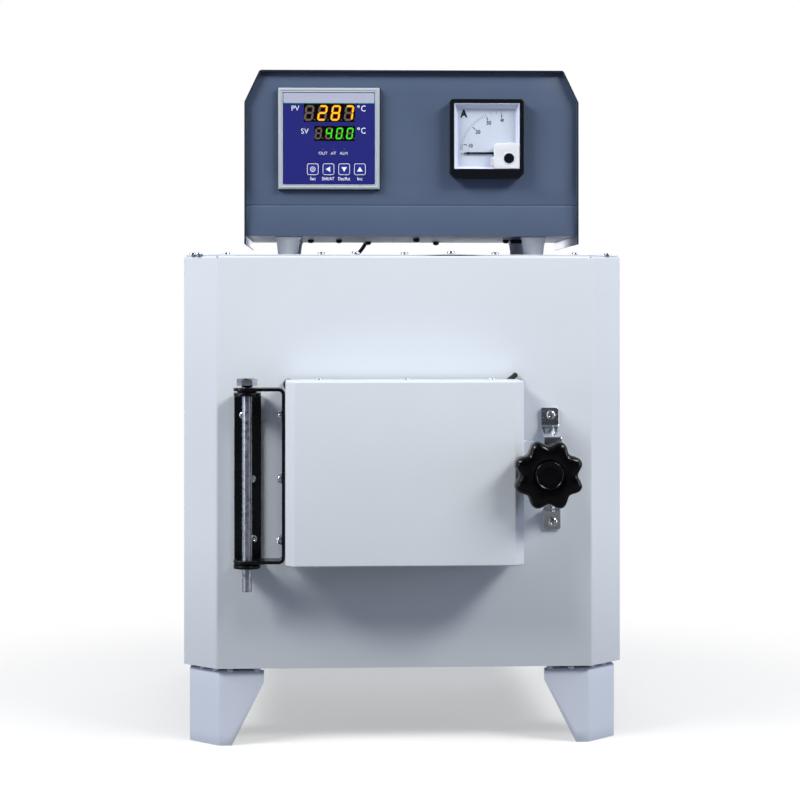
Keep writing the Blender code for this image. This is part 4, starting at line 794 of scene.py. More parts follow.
def gathered(*shapes):
    """Several pairs of points and faces as one pair."""
    starts = np.cumsum([0] + [len(points) for points, _ in shapes[:-1]])
    faces = [face for start, (_, part) in zip(starts, shapes)
             for face in (np.asarray(part) + start).tolist()]
    return np.vstack([points for points, _ in shapes]), faces


# The bolt: zinc plated, brushed along its length by wear, with a chamfered end.
worn_bolt = metal_finish("worn_plated_bolt", "7A808C", "EEF1F6", 0.24, 0.42, 4.0,
                         relief=(0.9, 0.03), fine=0.4, stretch=(1, 1, 0.03))
pin = turned_surface([(0, 344), (4.5, 344), (4.5, 151.1), (3.8, 150.3), (0, 150.3)],
                     (hinge_x, hinge_y, 0), upwards)
head = hex_head(0.0165, 0.0069, (hinge_x, hinge_y, head_seat + 0.0018), upwards, math.radians(30))
settle("hinge_bolt", gathered(head, pin), worn_bolt, "hinge_pin", sharp=25)
# The washers between the brackets' arms are black with old oil, and so is the short neck
# that shows under the bolt's head.
oiled_steel = metal_finish("oil_black_steel", "101116", "1E1F25", 0.25, 0.4, 2.0)
ring = [(4.8, 0.1), (4.8, 1.1), (4.9, 1.2), (8.8, 1.2), (9.0, 1.0), (9.0, 0.2), (8.8, 0),
        (4.9, 0), (4.8, 0.1)]
neck = [(4.6, 0.1), (5.0, 0.1), (5.0, 1.7), (4.6, 1.7), (4.6, 0.1)]
for name, node, profile, z in (
        ("hinge_washer_lower_oiled", "hinge_washer_lower", ring, 0.1756),
        ("hinge_washer_upper_oiled", "hinge_washer_upper", ring, 0.3352),
        ("hinge_bolt_neck", None, neck, head_seat)):
    settle(name, turned_surface(profile, (hinge_x, hinge_y, z), upwards), oiled_steel, node)

# Pan-head screws: three through the cabinet bracket's web, three through the door's.
seat_gap = 0.0003
web_screws = mm([(-152.7, 0, 312.7), (-144.3, 0, 252.8), (-143.3, 0, 196.5)])
settle("cabinet_bracket_screws", repeated(pan_head, web_screws + (0, front_y - seat_gap - bar, 0),
                                          outwards, [0.3, 1.0, 0.6]), nickel, sharp=40)
leftwards = np.array([-1.0, 0, 0])
side_screws = np.array([(door_left - seat_gap - bar, hinge_y, z) for z in (0.3137, 0.2553, 0.1985)])
disc = turned_surface([(0, 1.2), (4.7, 1.2), (4.9, 1.0), (4.9, 0.2), (4.7, 0), (0, 0)],
                      (0, 0, 0), upwards, 32)
side_head = cross_pan_head(4.2, 3.4, 2.6, 0.6, 1.5)
settle("door_bracket_screws",
       gathered(repeated(side_head, side_screws + leftwards * 0.0010, leftwards, [0.9, 0.2, 0.5]),
                repeated(disc, side_screws, leftwards)), nickel, body="door", sharp=40)

# ---------------------------------------------------------------- latch
# A phenolic star knob with eight lobes turns a plated spindle whose cam goes behind a
# strap on the cabinet. The spindle runs in an angle of 3 mm sheet on the door's side.
knob_x, knob_z, lobe_depth = door_right + 0.0196, door_middle, 0.0057

# The tongue: its plan in the plane of the door's front, folded back along the door's side.
dress("latch_tongue_folded", "latch_tongue", cabinet_coat, 0.0004, 40, 2, body="door")

# The knob: at height h (proud of the cabinet) and angle a its radius is a round part plus
# a lobed part times (middle - depth / 2 * cos 8a, flattened on the crests), less the
# middle. The round part takes over towards the dished face, the groove and the hub.
lobes = whole_turn(192)
swing = np.cos(8 * lobes)
star = -lobe_depth / 2 * (swing - 0.06 * (1 - swing ** 2))
share, radius, proud = np.array([  # share of the lobes, radius and height in mm
    (0, 3.9, 61.8), (0, 3.9, 50.3), (0, 12.5, 50.3), (0, 13.0, 50.9), (0, 13.0, 66.3),
    (0.1, 14.5, 67.7), (0.4, 19.0, 68.3), (0.85, 25.45, 68.5), (0.97, 28.05, 69.4),
    (1, 29.25, 70.9), (1, 29.65, 72.8), (1, 29.65, 84.1), (1, 29.25, 86.1), (0.98, 28.25, 87.9),
    (0.95, 26.65, 89.3), (0.85, 24.45, 90.0), (0.6, 21.15, 90.3), (0.2, 17.2, 90.2),
    (0, 15.0, 90.0), (0, 14.2, 89.7), (0, 13.7, 89.1), (0, 0, 89.1)]).T
r = radius / 1000 + share * star[:, None]
points = stacked(knob_x + r * np.cos(lobes)[:, None], front_y - proud / 1000,
                 knob_z + r * np.sin(lobes)[:, None])

# Moulded phenolic: jet black and polished by the mould, with a faint orange peel.
phenolic = surface("black_phenolic_moulding", "black_plastic", "020203", "060609", (50 / 13, 3, 0.5),
                   gloss=(0.18, 0.26, 0, 1), relief=(0.15, 0.05),
                   shader={"Specular IOR Level": 0.25})
settle("star_knob_moulding", (points, grid_faces(*points.shape[:2], close_rows=True)), phenolic,
       "star_knob", "latch_knob", sharp=50)

# The cap: a shallow dome pressed into the knob's face, with a rolled rim that catches a
# thin arc of light.
cap_profile = [(0, 0), (13, 0), (13.2, 0.2), (13.2, 1.4), (13, 1.9), (12.6, 2.2), (12.1, 2.15),
               (11.7, 1.8), (11.3, 1.5), (10.6, 1.35), (7, 1.45), (3.5, 1.5), (0, 1.52)]
settle("knob_cap_moulding", turned_surface(cap_profile, (knob_x, front_y - 0.0894, knob_z), outwards,
                                           64), phenolic, "knob_cap", "latch_knob", sharp=50)

# The spindle and its cam: turned and milled steel, zinc plated.
bright_zinc = metal_finish("bright_zinc_plate", "B0B4BE", "F6F8FC", 0.16, 0.28, 2.6)
dress("latch_spindle_plated", "latch_spindle", bright_zinc, 0.0004, 40, body="latch_knob")

# ---------------------------------------------------------------- keeper strap
# The strap is 2.5 mm steel, 17 mm wide, bent to a bridge that stands 24 mm proud, with
# thick mottled zinc plating. It hangs a degree out of plumb. Two cross-head screws hold
# it to the cabinet.
keeper_middle, keeper_width, keeper_lean, keeper_corner = 0.1384, 0.0170, -0.019, 0.0022
half_bridge, slope, tab = 0.031, 0.0095, 0.0172
strap_back, bulge = seat_gap + 0.0025, 0.024
strap_path = rounded_path(mirrored_path([(half_bridge + slope + tab, strap_back),
                                         (half_bridge + slope, strap_back),
                                         (half_bridge, bulge)]), 0.0028, 8)
travel = travelled(strap_path)
extra = np.linspace(0, keeper_corner, 7)
stops = np.unique(np.round(np.hstack([travel, extra, travel[-1] - extra]), 7))
up, proud = (np.interp(stops, travel, strap_path[:, k])[:, None] for k in (0, 1))
# Across the strap u runs from -1 to 1. Near each end the half width shrinks round the
# corner by 2.2 mm less the root of 2.2 squared less (2.2 less the distance) squared.
left_over = np.clip(keeper_corner - np.minimum(stops, travel[-1] - stops), 0, keeper_corner)
half_across = keeper_width / 2 - keeper_corner + np.sqrt(keeper_corner ** 2 - left_over ** 2)
u = np.linspace(-1, 1, 9)
points = stacked(keeper_middle + keeper_lean * up + half_across[:, None] * u, front_y - proud,
                 knob_z + up)
settle("keeper_strap_bent", sheet_metal((points, grid_faces(*points.shape[:2])), 0.0025, edge=0.0003),
       bright_zinc, "keeper_strap", sharp=50)
strap_head = cross_pan_head(4.2, 2.8, 2.2, 0.55, 1.4, around=48)
for name, x, z, spin in (("keeper_screw_upper", 0.1383, knob_z + 0.0507, 0.70),
                         ("keeper_screw_lower", 0.1402, knob_z - 0.0508, 0.95)):
    seat = (x, front_y - strap_back - 0.0002, z)
    shank = turned_surface([(0, 0), (2, 0), (2, -9.5), (1.2, -10.2), (0, -10.4)], seat, outwards, 16)
    settle(name + "_plated", gathered(repeated(strap_head, [seat], outwards, spin), shank), nickel,
           name, sharp=40)

# ---------------------------------------------------------------- control box
# A wrap of 1.5 mm sheet steel, its shoulders folded, closes over a folded front panel, a
# floor tray and a vented back. All of it is powder coated dark blue grey. The whole box
# stands turned by 1.3 degrees, so its pieces are built square and then turned.
control_half, control_top, control_low = 0.1586, 0.6393, control_z - 0.0078
shoulder_across, shoulder_drop = 0.0145, 0.0303
control_coat = powder_coat("blue_grey_powder_coat", "control_enamel", "52617C", 0.38, 1.2)
# The wrap's front edges get a near black coat. It is painted shade, standing in for the shadowed gap
# round the rim.
rim_shade_coat = powder_coat("painted_shade_on_front_rim", "control_enamel", "14161C", 0.50, 1.2, 0.02)

# The wrap: point (i, j) is point i of its section, seen from the front, at depth j.
section = rounded_path(mirrored_path([(-control_half, control_low),
                                      (-control_half, control_top - shoulder_drop),
                                      (shoulder_across - control_half, control_top)]), 0.0030, 8)
points = stacked(section[:, :1] + control_shift, np.array([control_front_y, control_back_y]),
                 section[:, 1:])
cover = settle("control_cover_wrap", sheet_metal((on_control(points), grid_faces(len(section), 2)),
                                                 0.0015), (control_coat, rim_shade_coat),
               "control_cover").data
# Faces that look forward, which are the wrap's front edges, take the dark second coat: the painted
# shade of the rim.
facing = np.zeros(3 * len(cover.polygons))
cover.polygons.foreach_get("normal", facing)
cover.polygons.foreach_set("material_index", (facing.reshape(-1, 3)[:, 1] < -0.5).astype(np.int32))

# The panel: column i of row j lies at x_i, and the outermost columns at plus and minus
# the width the shoulders leave at that height. Two square holes are left open.
panel_y, inset = control_front_y + 0.005, 0.0018
slant = math.hypot(shoulder_across, shoulder_drop)
inner_across = shoulder_across - inset * (1 - (slant - shoulder_across) / shoulder_drop)
inner_drop = shoulder_drop - inset * (1 - (slant - shoulder_drop) / shoulder_across)
panel_top, crease_z = control_top - inset, control_z + 0.029
controller, meter = (-0.0696, 0.5744), (0.0800, 0.5734)
holes = [(*controller, 0.046), (*meter, 0.0295)]
fold = rounded_path([(panel_y - 0.0027, control_z), (panel_y - 0.0001, crease_z - 0.0011),
                     (panel_y + 0.0005, crease_z), (panel_y, crease_z + 0.0013),
                     (panel_y, panel_top)], 0.0004, 3)
rows = np.unique(np.round(np.hstack([fold[:, 1], panel_top - inner_drop]
                                    + [[z - half, z + half] for _, z, half in holes]), 7))
row_half = control_half - inset - (np.clip((rows - panel_top + inner_drop) / inner_drop, 0, 1)
                                   * inner_across)
columns = np.unique(np.round(np.hstack([[x - half, x + half] for x, _, half in holes]), 7))
across = np.hstack([(control_shift - row_half)[:, None],
                    np.broadcast_to(columns, (len(rows), len(columns))),
                    (control_shift + row_half)[:, None]])
points = stacked(across, np.interp(rows, fold[:, 1], fold[:, 0])[:, None], rows[:, None])
faces = grid_faces(*across.shape)[:, ::-1]
middles = points.reshape(-1, 3)[faces].mean(1)
inside = [(np.abs(middles[:, 0] - x) < half) & (np.abs(middles[:, 2] - z) < half)
          for x, z, half in holes]
settle("control_panel_folded", sheet_metal((on_control(points), faces[~(inside[0] | inside[1])]),
                                           0.0015), control_coat, "control_panel")
for node in ("control_base", "control_back"):
    dress(node + "_sheet", node, control_coat, 0.0002, 60)

# The feet: tapered grey mouldings with a lip at the top and a narrow toe.
# Their colour is lightened nearly to white. This is painted light, for the light that the cabinet's top
# throws up under the box.
foot_coat_painted_light = powder_coat("moulded_plastic_painted_light", "foot_plastic", "EEF2F8", 0.40, 0.7, 0.01)
foot_profile = [(0, 17.2), (12, 17.2), (12.2, 17), (12.2, 15.6), (12, 15.2), (11.3, 15), (11.2, 14.6),
                (9.5, 1), (9.2, 0.3), (8.8, 0.3), (7, 0.3), (6.6, 1.6), (0, 1.6)]
for side, word in ((-1, "left"), (1, "right")):
    for back, place in ((0.030, "front"), (0.180, "rear")):
        name = "control_foot_" + place + "_" + word
        points, faces = turned_surface(
            foot_profile, (control_shift + side * 0.118, front_y + back, cabinet_top), upwards, 48)
        settle(name + "_moulding", (on_control(points), faces), foot_coat_painted_light, name)

# Under the tray: black pan heads that hold what stands inside, and a small connector.
black_plastic = surface("black_moulded_plastic", "black_plastic", "0D0E11", "191B1F", (5 / 7, 2, 0.5),
                        gloss=0.42, relief=(0.4, 0.04), shader={"IOR": 1.5})
under = on_control(mm([(-88, -87, 0), (-60, -87, 0), (15.9, -123, 0), (107, -84, 0), (40, -20, 0),
                       (-30, -30, 0)]) + upwards * (control_z - 0.0001))
settle("tray_screws", repeated(cross_pan_head(3.2, 3.6, 1.7, 0.45, 1.0, around=24), under, -upwards,
                               np.arange(6) * 0.5), black_plastic, sharp=40)


def as_triangles(mesh):
    """A mesh's points and its faces as arrays, each face cut into triangles."""
    points = np.zeros(3 * len(mesh.vertices))
    mesh.vertices.foreach_get("co", points)
    mesh.calc_loop_triangles()
    corners = np.zeros(3 * len(mesh.loop_triangles), np.int32)
    mesh.loop_triangles.foreach_get("vertices", corners)
    return points.reshape(-1, 3), corners.reshape(-1, 3)


def brick(low, high, edge=0.0004):
    """A box between two corners whose edges are rounded over."""
    low, high = np.asarray(low, float), np.asarray(high, float)
    cube = np.array([(x, y, z) for x in (0, 1) for y in (0, 1) for z in (0, 1)], float)
    faces = [(0, 1, 3, 2), (4, 6, 7, 5), (0, 4, 5, 1), (2, 3, 7, 6), (0, 2, 6, 4), (1, 5, 7, 3)]
    return as_triangles(worked(make_mesh("brick", low + cube * (high - low), faces),
                               ("BEVEL", dict(width=edge, segments=2, limit_method="NONE"))))


points, faces = gathered(
    brick((0.1115, -0.088, control_z - 0.0034), (0.1240, -0.074, control_z + 0.0002)),
    brick((0.1135, -0.0895, control_z - 0.0022), (0.1165, -0.0875, control_z - 0.0008), 0.0002))
settle("tray_connector", (on_control(points), faces), black_plastic)

# ---------------------------------------------------------------- temperature controller
# A panel controller with a 96 mm moulded grey bezel, a printed film over its face, two
# rows of seven-segment lights behind smoked windows and four keys under the film.


def from_curve(curve, place, middle):
    """The points and faces of a flat curve set upright on the control box's panel.

    Its x runs across, its y up and its z out of the panel from the middle depth.
    """
    flat, faces = as_triangles(evaluated(put("bench", curve)))
    x, y, z = flat.T
    return on_control(np.stack([x + place[0], panel_y - middle - z, y + place[1]], 1)), faces


def cut_shapes(outlines, place, back, front, edge=0.0):
    """Flat shapes cut from a sheet: filled outlines at a place on the panel.

    Each outline is an array of (across, up) and an outline inside another is a hole. The
    shape reaches from back to front proud of the panel, its edges rounded by edge.
    """
    curve = bpy.data.curves.new("cut_shapes", "CURVE")
    curve.dimensions, curve.fill_mode = "2D", "BOTH"
    curve.extrude, curve.bevel_depth, curve.offset = (front - back) / 2 - edge, edge, -edge
    curve.bevel_resolution = 2
    for outline in outlines:
        add_line(curve, np.hstack([outline, np.zeros((len(outline), 1))]), closed=True)
    return from_curve(curve, place, (back + front) / 2)


def lettering(words, across, up, height, width, weight, device, proud):
    """Words in plain capitals on a device's face, centred on a place from its middle.

    The place and the height are in mm. The weight, in hundredths of a millimetre, thickens
    the strokes, and the letters are stretched along the line by width.
    """
    place = (device[0] + across / 1000, device[1] + up / 1000)
    text = bpy.data.curves.new("lettering", "FONT")
    text.body, text.size = words, height / 730
    text.align_x, text.align_y = "CENTER", "CENTER"
    text.extrude, text.offset, text.resolution_u = 0.00002, weight / 100000, 4
    points, faces = from_curve(text, place, proud)
    along = control_rotation @ np.array([1.0, 0, 0])
    reach = (points - on_control(((place[0], panel_y - proud, place[1]),))) @ along
    return points + (reach * (width - 1))[:, None] * along, faces


def rounded_square(width, height, radius):
    """A rectangle with rounded corners round the origin, anticlockwise, from mm."""
    x, y, radius = mm([width / 2, height / 2, radius])
    return rounded_path([(-x, -y), (x, -y), (x, y), (-x, y)], radius, 6, closed=True)


def swept_frame(outer, inner, profile, place):
    """A frame between two like outlines: point (i, j) is outer i moved towards inner i.

    Profile row j gives the share of that way and the depth in mm proud of the panel.
    """
    share, proud = np.array(profile, float).T
    flat = outer[:, None] + (inner - outer)[:, None] * share[:, None]
    points = stacked(flat[..., 0] + place[0], panel_y - proud / 1000, flat[..., 1] + place[1])
    return on_control(points).reshape(-1, 3), grid_faces(*flat.shape[:2], True, True)


def moulded(name, slot, code, roughness, grain_mm=0.5, depth_mm=0.02):
    """A moulded plastic: one colour, with a fine spark-eroded grain in bump and gloss."""
    return surface(name, slot, code, grain=(grain_mm, 3, 0.5), relief=(0.4, depth_mm),
                   gloss=(roughness - 0.04, roughness + 0.04, 0.3, 0.7), shader={"IOR": 1.5})


# The bezel: grey ABS. Round its front runs a raised bead with a groove inside it.
bezel_grey = moulded("grey_abs_moulding", "grey_plastic", "B4BEC9", 0.38)
bead = swept_frame(rounded_square(94.4, 94.4, 1.0), rounded_square(87.2, 87.2, 0.6),
                   [(0, 4.5), (0.05, 5.1), (0.15, 5.3), (0.45, 5.3), (0.55, 5.1), (0.62, 4.85),
                    (0.70, 4.85), (0.78, 5.1), (0.93, 5.1), (1, 4.5)], controller)
settle("controller_bezel", gathered(as_triangles(eased("controller_housing", 0.0007, 50)), bead),
       bezel_grey, "controller_housing", sharp=40)

# Black foam lies between bezel and panel. The strip is set out a little to the right and below: the
# foam is real, and the dark edge it leaves there is the bezel's painted shadow.
foam_and_painted_shadow = moulded("black_foam_and_painted_shadow", "black_plastic", "0B0C0F", 0.80, 1.0, 0.05)
settle("controller_foam_and_painted_shadow", swept_frame(
    rounded_square(97.2, 97.2, 1.2) + (0.0004, -0.0004), rounded_square(94, 94, 0.6),
    [(0, 0.2), (0, 1.6), (0.25, 1.9), (1, 1.9), (1, 0.2)], controller), foam_and_painted_shadow)

# The printed film: deep blue, with a bare lavender grey band at the top and a thin
# green line under it. It is polycarbonate with a velvet finish.
film_blue, band_grey, line_green, print_white = (
    moulded(name, "controller_label", code, roughness, 0.3, 0.004) for name, code, roughness in (
        ("blue_printed_film", "1E2179", 0.40), ("grey_printed_band", "B3B7CF", 0.36),
        ("green_printed_line", "63C08E", 0.36), ("white_print", "F1F4FC", 0.40)))
dress("controller_film", "controller_face", film_blue, 0.0001, 60)
face_proud = 0.0048
ink_back, ink = face_proud - 0.00002, face_proud + 0.00004
band = rounded_path(mm([(-43.1, 33.8), (43.1, 33.8), (43.1, 43.1), (-43.1, 43.1)]),
                    (0.0001, 0.0001, 0.0008, 0.0008), 5, closed=True)
stripe = mm([(-43.1, 33.3), (43.1, 33.3), (43.1, 33.85), (-43.1, 33.85)])
for name, outline, finish in (("controller_film_band", band, band_grey),
                              ("controller_film_line", stripe, line_green)):
    settle(name, cut_shapes([outline], controller, ink_back, ink), finish)


def circle(across, up, radius, around=20, way=1):
    """Points round a circle, clockwise where way is -1."""
    angle = way * whole_turn(around)
    return np.stack([across + radius * np.cos(angle), up + radius * np.sin(angle)], 1)


def loop(across, up, radius, width, back, front, around=32):
    """A thin printed ring on the controller."""
    return cut_shapes([circle(across, up, radius + width / 2, around),
                       circle(across, up, radius - width / 2, around, -1)], controller, back, front)


words = [lettering(*row, controller, ink) for row in (
    ("PV", -31.9, 28.3, 5.1, 1, 0), ("SV", -22.9, 6.6, 5.1, 1, 0), ("C", 32.6, 28.1, 5.9, 0.82, 4),
    ("C", 32.6, 7.1, 5.9, 0.82, 4), ("OUT", -5.6, -14.2, 2.9, 1, 0), ("AT", 4.3, -14.2, 2.9, 1, 0),
    ("ALM", 14.0, -14.2, 2.9, 1, 0), ("Set", -15.3, -38.3, 3.2, 1, 5),
    ("Shift/AT", -0.8, -38.3, 3.2, 0.80, 5), ("Dec/Rst", 14.3, -38.3, 3.2, 0.80, 5),
    ("Inc", 29.2, -38.3, 3.2, 1, 5))]
degrees = [loop(0.0281, up, 0.0009, 0.0006, ink_back, ink, 20) for up in (0.0303, 0.0093)]
settle("controller_printed_words", gathered(*words, *degrees), print_white)
lamp_olive = moulded("unlit_signal_lamp", "controller_label", "5A6240", 0.25)
settle("controller_signal_lamps", gathered(*[
    cut_shapes([circle(across, -0.0102, 0.0007)], controller, face_proud - 0.0001, ink)
    for across in (-0.0054, 0.0045, 0.0144)]), lamp_olive)

# The windows are smoked acrylic over a dark carrier. The lights show through as lit
# bars with a hot core, and the unlit bars as a milky grey.
smoked = moulded("smoked_acrylic", "display_black", "0C0706", 0.14, 2.0, 0.002)
unlit_bar = moulded("unlit_light_bar", "display_black", "63564F", 0.45)
for node in ("process_display", "set_display"):
    dress(node + "_lens", node, smoked, 0.0002, 60)

# The bars of a digit: each is a six-sided bar between two corners of the digit, given in
# halves of its width and height, and the whole leans by eight degrees.
bar_ends = {"a": ((-1, 1), (1, 1)), "b": ((1, 1), (1, 0)), "c": ((1, 0), (1, -1)),
            "d": ((-1, -1), (1, -1)), "e": ((-1, 0), (-1, -1)), "f": ((-1, 1), (-1, 0)),
            "g": ((-1, 0), (1, 0))}
digit_bars = {"0": "abcdef", "2": "abdeg", "4": "bcfg", "7": "abc", "8": "abcdefg", " ": ""}


def digit_shapes(across, up, width, height, stroke, bars):
    """Outlines of a digit's bars: between ends p and q with unit direction t and normal n.

    With g a small gap and s half the stroke, the corners are p + g t, p + (g + s) t + s n,
    q - (g + s) t + s n, q - g t and the same two with minus n. Then across += 0.14 up.
    """
    half = np.array([width - stroke, height - stroke]) / 2
    shapes = []
    for bar in bars:
        p, q = (np.array(end) * half for end in bar_ends[bar])
        t = (q - p) / np.linalg.norm(q - p)
        n = np.array([-t[1], t[0]])
        s, gap = stroke / 2, stroke * 0.06
        shape = np.array([p + gap * t, p + (gap + s) * t - s * n, q - (gap + s) * t - s * n,
                          q - gap * t, q - (gap + s) * t + s * n, p + (gap + s) * t + s * n])
        shape[:, 0] += 0.14 * shape[:, 1]
        shapes.append(shape + (across, up))
    return shapes


def lit(name, code):
    """A light bar that glows in one colour."""
    material = bpy.data.materials.new(name)
    tree = emptied(material)
    glow = add_node(tree, "BsdfPrincipled", {"Base Color": colour("101010"), "Roughness": 0.5,
                                             "Emission Color": colour(code),
                                             "Emission Strength": 1.0})
    add_node(tree, "OutputMaterial", {"Surface": glow})
    return material


lens_proud = 0.0046
for row, first, up, pitch, width, height, stroke, shown, edge_code, core_code in (
        ("process", -0.01865, 0.02415, 0.01255, 0.0086, 0.0148, 0.0020, " 287", "FF5A00", "FFDC00"),
        ("set", -0.0099, 0.0048, 0.0099, 0.0064, 0.0111, 0.0016, " 400", "1C8C00", "3CF600")):
    dark, edges, cores = [], [], []
    for index, figure in enumerate(shown):
        across, bars = first + index * pitch, digit_bars[figure]
        dark += digit_shapes(across, up, width, height, stroke,
                             [bar for bar in bar_ends if bar not in bars])
        edges += digit_shapes(across, up, width + 0.0003, height + 0.0003, stroke + 0.0003, bars)
        cores += digit_shapes(across, up, width - 0.0004, height - 0.0004, stroke - 0.0006, bars)
        dark.append(circle(across + width * 0.60, up - height / 2 + 0.0008, 0.0006, 12))
    for part, shapes, finish, rise in (
            ("_unlit_bars", dark, unlit_bar, 0.00003),
            ("_lit_bars", edges, lit(row + "_light_edge", edge_code), 0.00005),
            ("_lit_cores", cores, lit(row + "_light_core", core_code), 0.00008)):
        settle(row + part, gathered(*[cut_shapes([shape], controller, lens_proud - 0.00002,
                                                 lens_proud + rise) for shape in shapes]), finish)

# The keys: blisters of the film with a white outline and a sign, each on its own body.
key_blue = moulded("blue_film_over_key", "controller_label", "24278B", 0.40, 0.3, 0.004)
low, high = face_proud + 0.0004 - 0.00004, face_proud + 0.0004 + 0.00003
down_triangle = mm([(0, -2.5), (2.7, 2.1), (-2.7, 2.1)])
key_signs = {"shift": mm([(-2.7, 0), (1.7, -2.6), (1.7, 2.6)]), "down": down_triangle,
             "up": -down_triangle}
for index, word in enumerate(("menu", "shift", "down", "up")):
    across, up, node, body = -0.0153 + index * 0.01487, -0.0292, "key_" + word, word + "_key"
    place = (controller[0] + across, controller[1] + up)
    dress(node + "_blister", node, key_blue, 0.00035, 40, 3, body=body)
    signs = [cut_shapes([rounded_square(10.9, 10.9, 2.1), rounded_square(9.9, 9.9, 1.6)[::-1]],
                        place, low, high)]
    if word == "menu":
        signs += [loop(across, up, 0.0022, 0.0006, low, high),
                  loop(across, up, 0.0009, 0.0004, low, high, 20)]
    else:
        signs.append(cut_shapes([key_signs[word]], place, low, high))
    settle(node + "_print", gathered(*signs), print_white, body=body)

# ---------------------------------------------------------------- ammeter
# A moving-iron ammeter, 70 mm across: a black moulded case, a white frame whose walls
# slope in to a pale printed dial, a clear cover and a white cap over the movement.
case_black = moulded("black_meter_case", "black_plastic", "090C14", 0.30, 0.6)
trims = [(on_control((meter[0] + side * 0.035, panel_y, meter[1] + 0.0363)),
          control_rotation @ (side, 0, 1)) for side in (-1, 1)]
trims.append(((meter[0], panel_y, meter[1] - 0.0368), (0, 0, -1)))
dress("ammeter_case", "ammeter_housing", case_black, 0.0009, 40, 3, trims)
frame_white = moulded("white_meter_frame", "white_plastic", "DDE3F6", 0.34, 0.5)
settle("ammeter_frame", swept_frame(
    rounded_square(62.4, 62.4, 0.9) + (0, 0.0032), rounded_square(55, 54.7, 0.4) + (0.0002, 0.00215),
    [(0, 3.4), (0, 9.4), (0.02, 9.8), (0.10, 10), (0.18, 9.8), (0.22, 9.4), (0.46, 7.8),
     (0.50, 7.4), (0.96, 4.2), (1, 3.8), (1, 3.4)], meter), frame_white, sharp=28)

# The dial: matt pale card. The scale runs from 0 at the left to 40 at the top and is
# cramped at its low end, as a moving-iron movement makes it.
dial_card, dial_black, dial_grey = (
    moulded(name, "dial_card", code, roughness, 0.4, depth) for name, code, roughness, depth in (
        ("pale_dial_card", "DAE4F7", 0.75, 0.006), ("black_dial_ink", "07080D", 0.60, 0.004),
        ("grey_dial_ink", "5A6274", 0.60, 0.004)))
nodes["ammeter_dial"].data.materials[0] = dial_card
dial_proud, pivot = 0.0034, np.array([0.01435, -0.0126])
dial_back, dial_ink = dial_proud - 0.00002, dial_proud + 0.00004


def scale_line(reading, low, high, width):
    """A scale line, from radius low to high in mm, at the angle of a reading."""
    angle = math.radians(180 - np.interp(reading, (0, 5, 10, 20, 30, 40),
                                         (0.0, 5.0, 13.0, 42.0, 67.4, 90.0)))
    along = np.array([math.cos(angle), math.sin(angle)])
    aside = np.array([-along[1], along[0]]) * width / 2000
    low, high = pivot + along * low / 1000, pivot + along * high / 1000
    return cut_shapes([np.array([high + aside, high - aside, low - aside, low + aside])], meter,
                      dial_back, dial_ink)


fine_lines = [scale_line(reading, 37.4, 40.0, 0.30) for reading in (*range(5, 31), 33.3, 36.7, 40)]
figures = [scale_line(reading, 33.7, 37.0, 0.80) for reading in (10, 20, 30, 40)]
figures.append(cut_shapes([circle(-0.0240, -0.0129, 0.0005, 16)], meter, dial_back, dial_ink))
figures += [lettering(*row, meter, dial_proud + 0.00003) for row in (
    ("A", -21.6, 24.6, 7.2, 0.88, 45), ("10", -15.4, -5.7, 3.5, 0.92, 15),
    ("20", -8.2, 7.5, 3.6, 0.95, 15), ("30", 2.1, 16.0, 3.6, 0.95, 15),
    ("40", 14.8, 18.7, 3.0, 0.80, 12))]
settle("dial_fine_lines", gathered(*fine_lines), dial_grey)
settle("dial_print", gathered(*figures), dial_black)

# The pointer: black sheet, tapering to its tip, with a round eye near it, on a steel
# staff whose hub hides under the white cap.
needle_low, needle_high = 0.0044, 0.0049
blade = mm([(-37.2, 0.15), (-37.2, -0.15), (-33.2, -0.8), (-4, -1), (-2.6, -1.3), (2.2, -1.3),
            (2.2, 1.3), (-2.6, 1.3), (-4, 1), (-33.2, 0.8)])
at_pivot = (meter[0] + pivot[0], meter[1] + pivot[1])
staff, staff_faces = turned_surface([(0, -4), (0.9, -4), (0.9, 4.8), (0.6, 4.9), (0, 4.9)],
                                    (at_pivot[0], panel_y, at_pivot[1]), outwards, 16)
settle("ammeter_pointer", gathered(
    cut_shapes([blade], at_pivot, needle_low, needle_high, 0.00006),
    cut_shapes([circle(-0.0316, -0.0001, 0.00125)], at_pivot, needle_low + 0.00005,
               needle_high - 0.00005),
    cut_shapes([circle(0, 0, 0.0030, 32)], at_pivot, needle_low + 0.00005, needle_high + 0.0002),
    (on_control(staff), staff_faces)), case_black, "ammeter_needle", "needle")

# The clear cover: polystyrene, seen only by the sheen that it lays over the dial.
clear = bpy.data.materials.new("clear_polystyrene")
tree = emptied(clear)
edge_share = add_node(tree, "Math", {0: add_node(tree, "LayerWeight", {"Blend": 0.5}).outputs["Facing"],
                                     1: 5.0}, operation="POWER")
edge_on = add_node(tree, "MapRange", {"Value": edge_share, "To Min": 0.03, "To Max": 0.9})
sheen = add_node(tree, "BsdfGlossy", {"Color": colour("FFFFFF"), "Roughness": 0.05})
through = add_node(tree, "BsdfTransparent", {"Color": colour("FFFFFF")})
add_node(tree, "OutputMaterial", {"Surface": add_node(tree, "MixShader", {0: edge_on, 1: through,
                                                                          2: sheen})})
nodes["ammeter_window"].data.materials[0] = clear

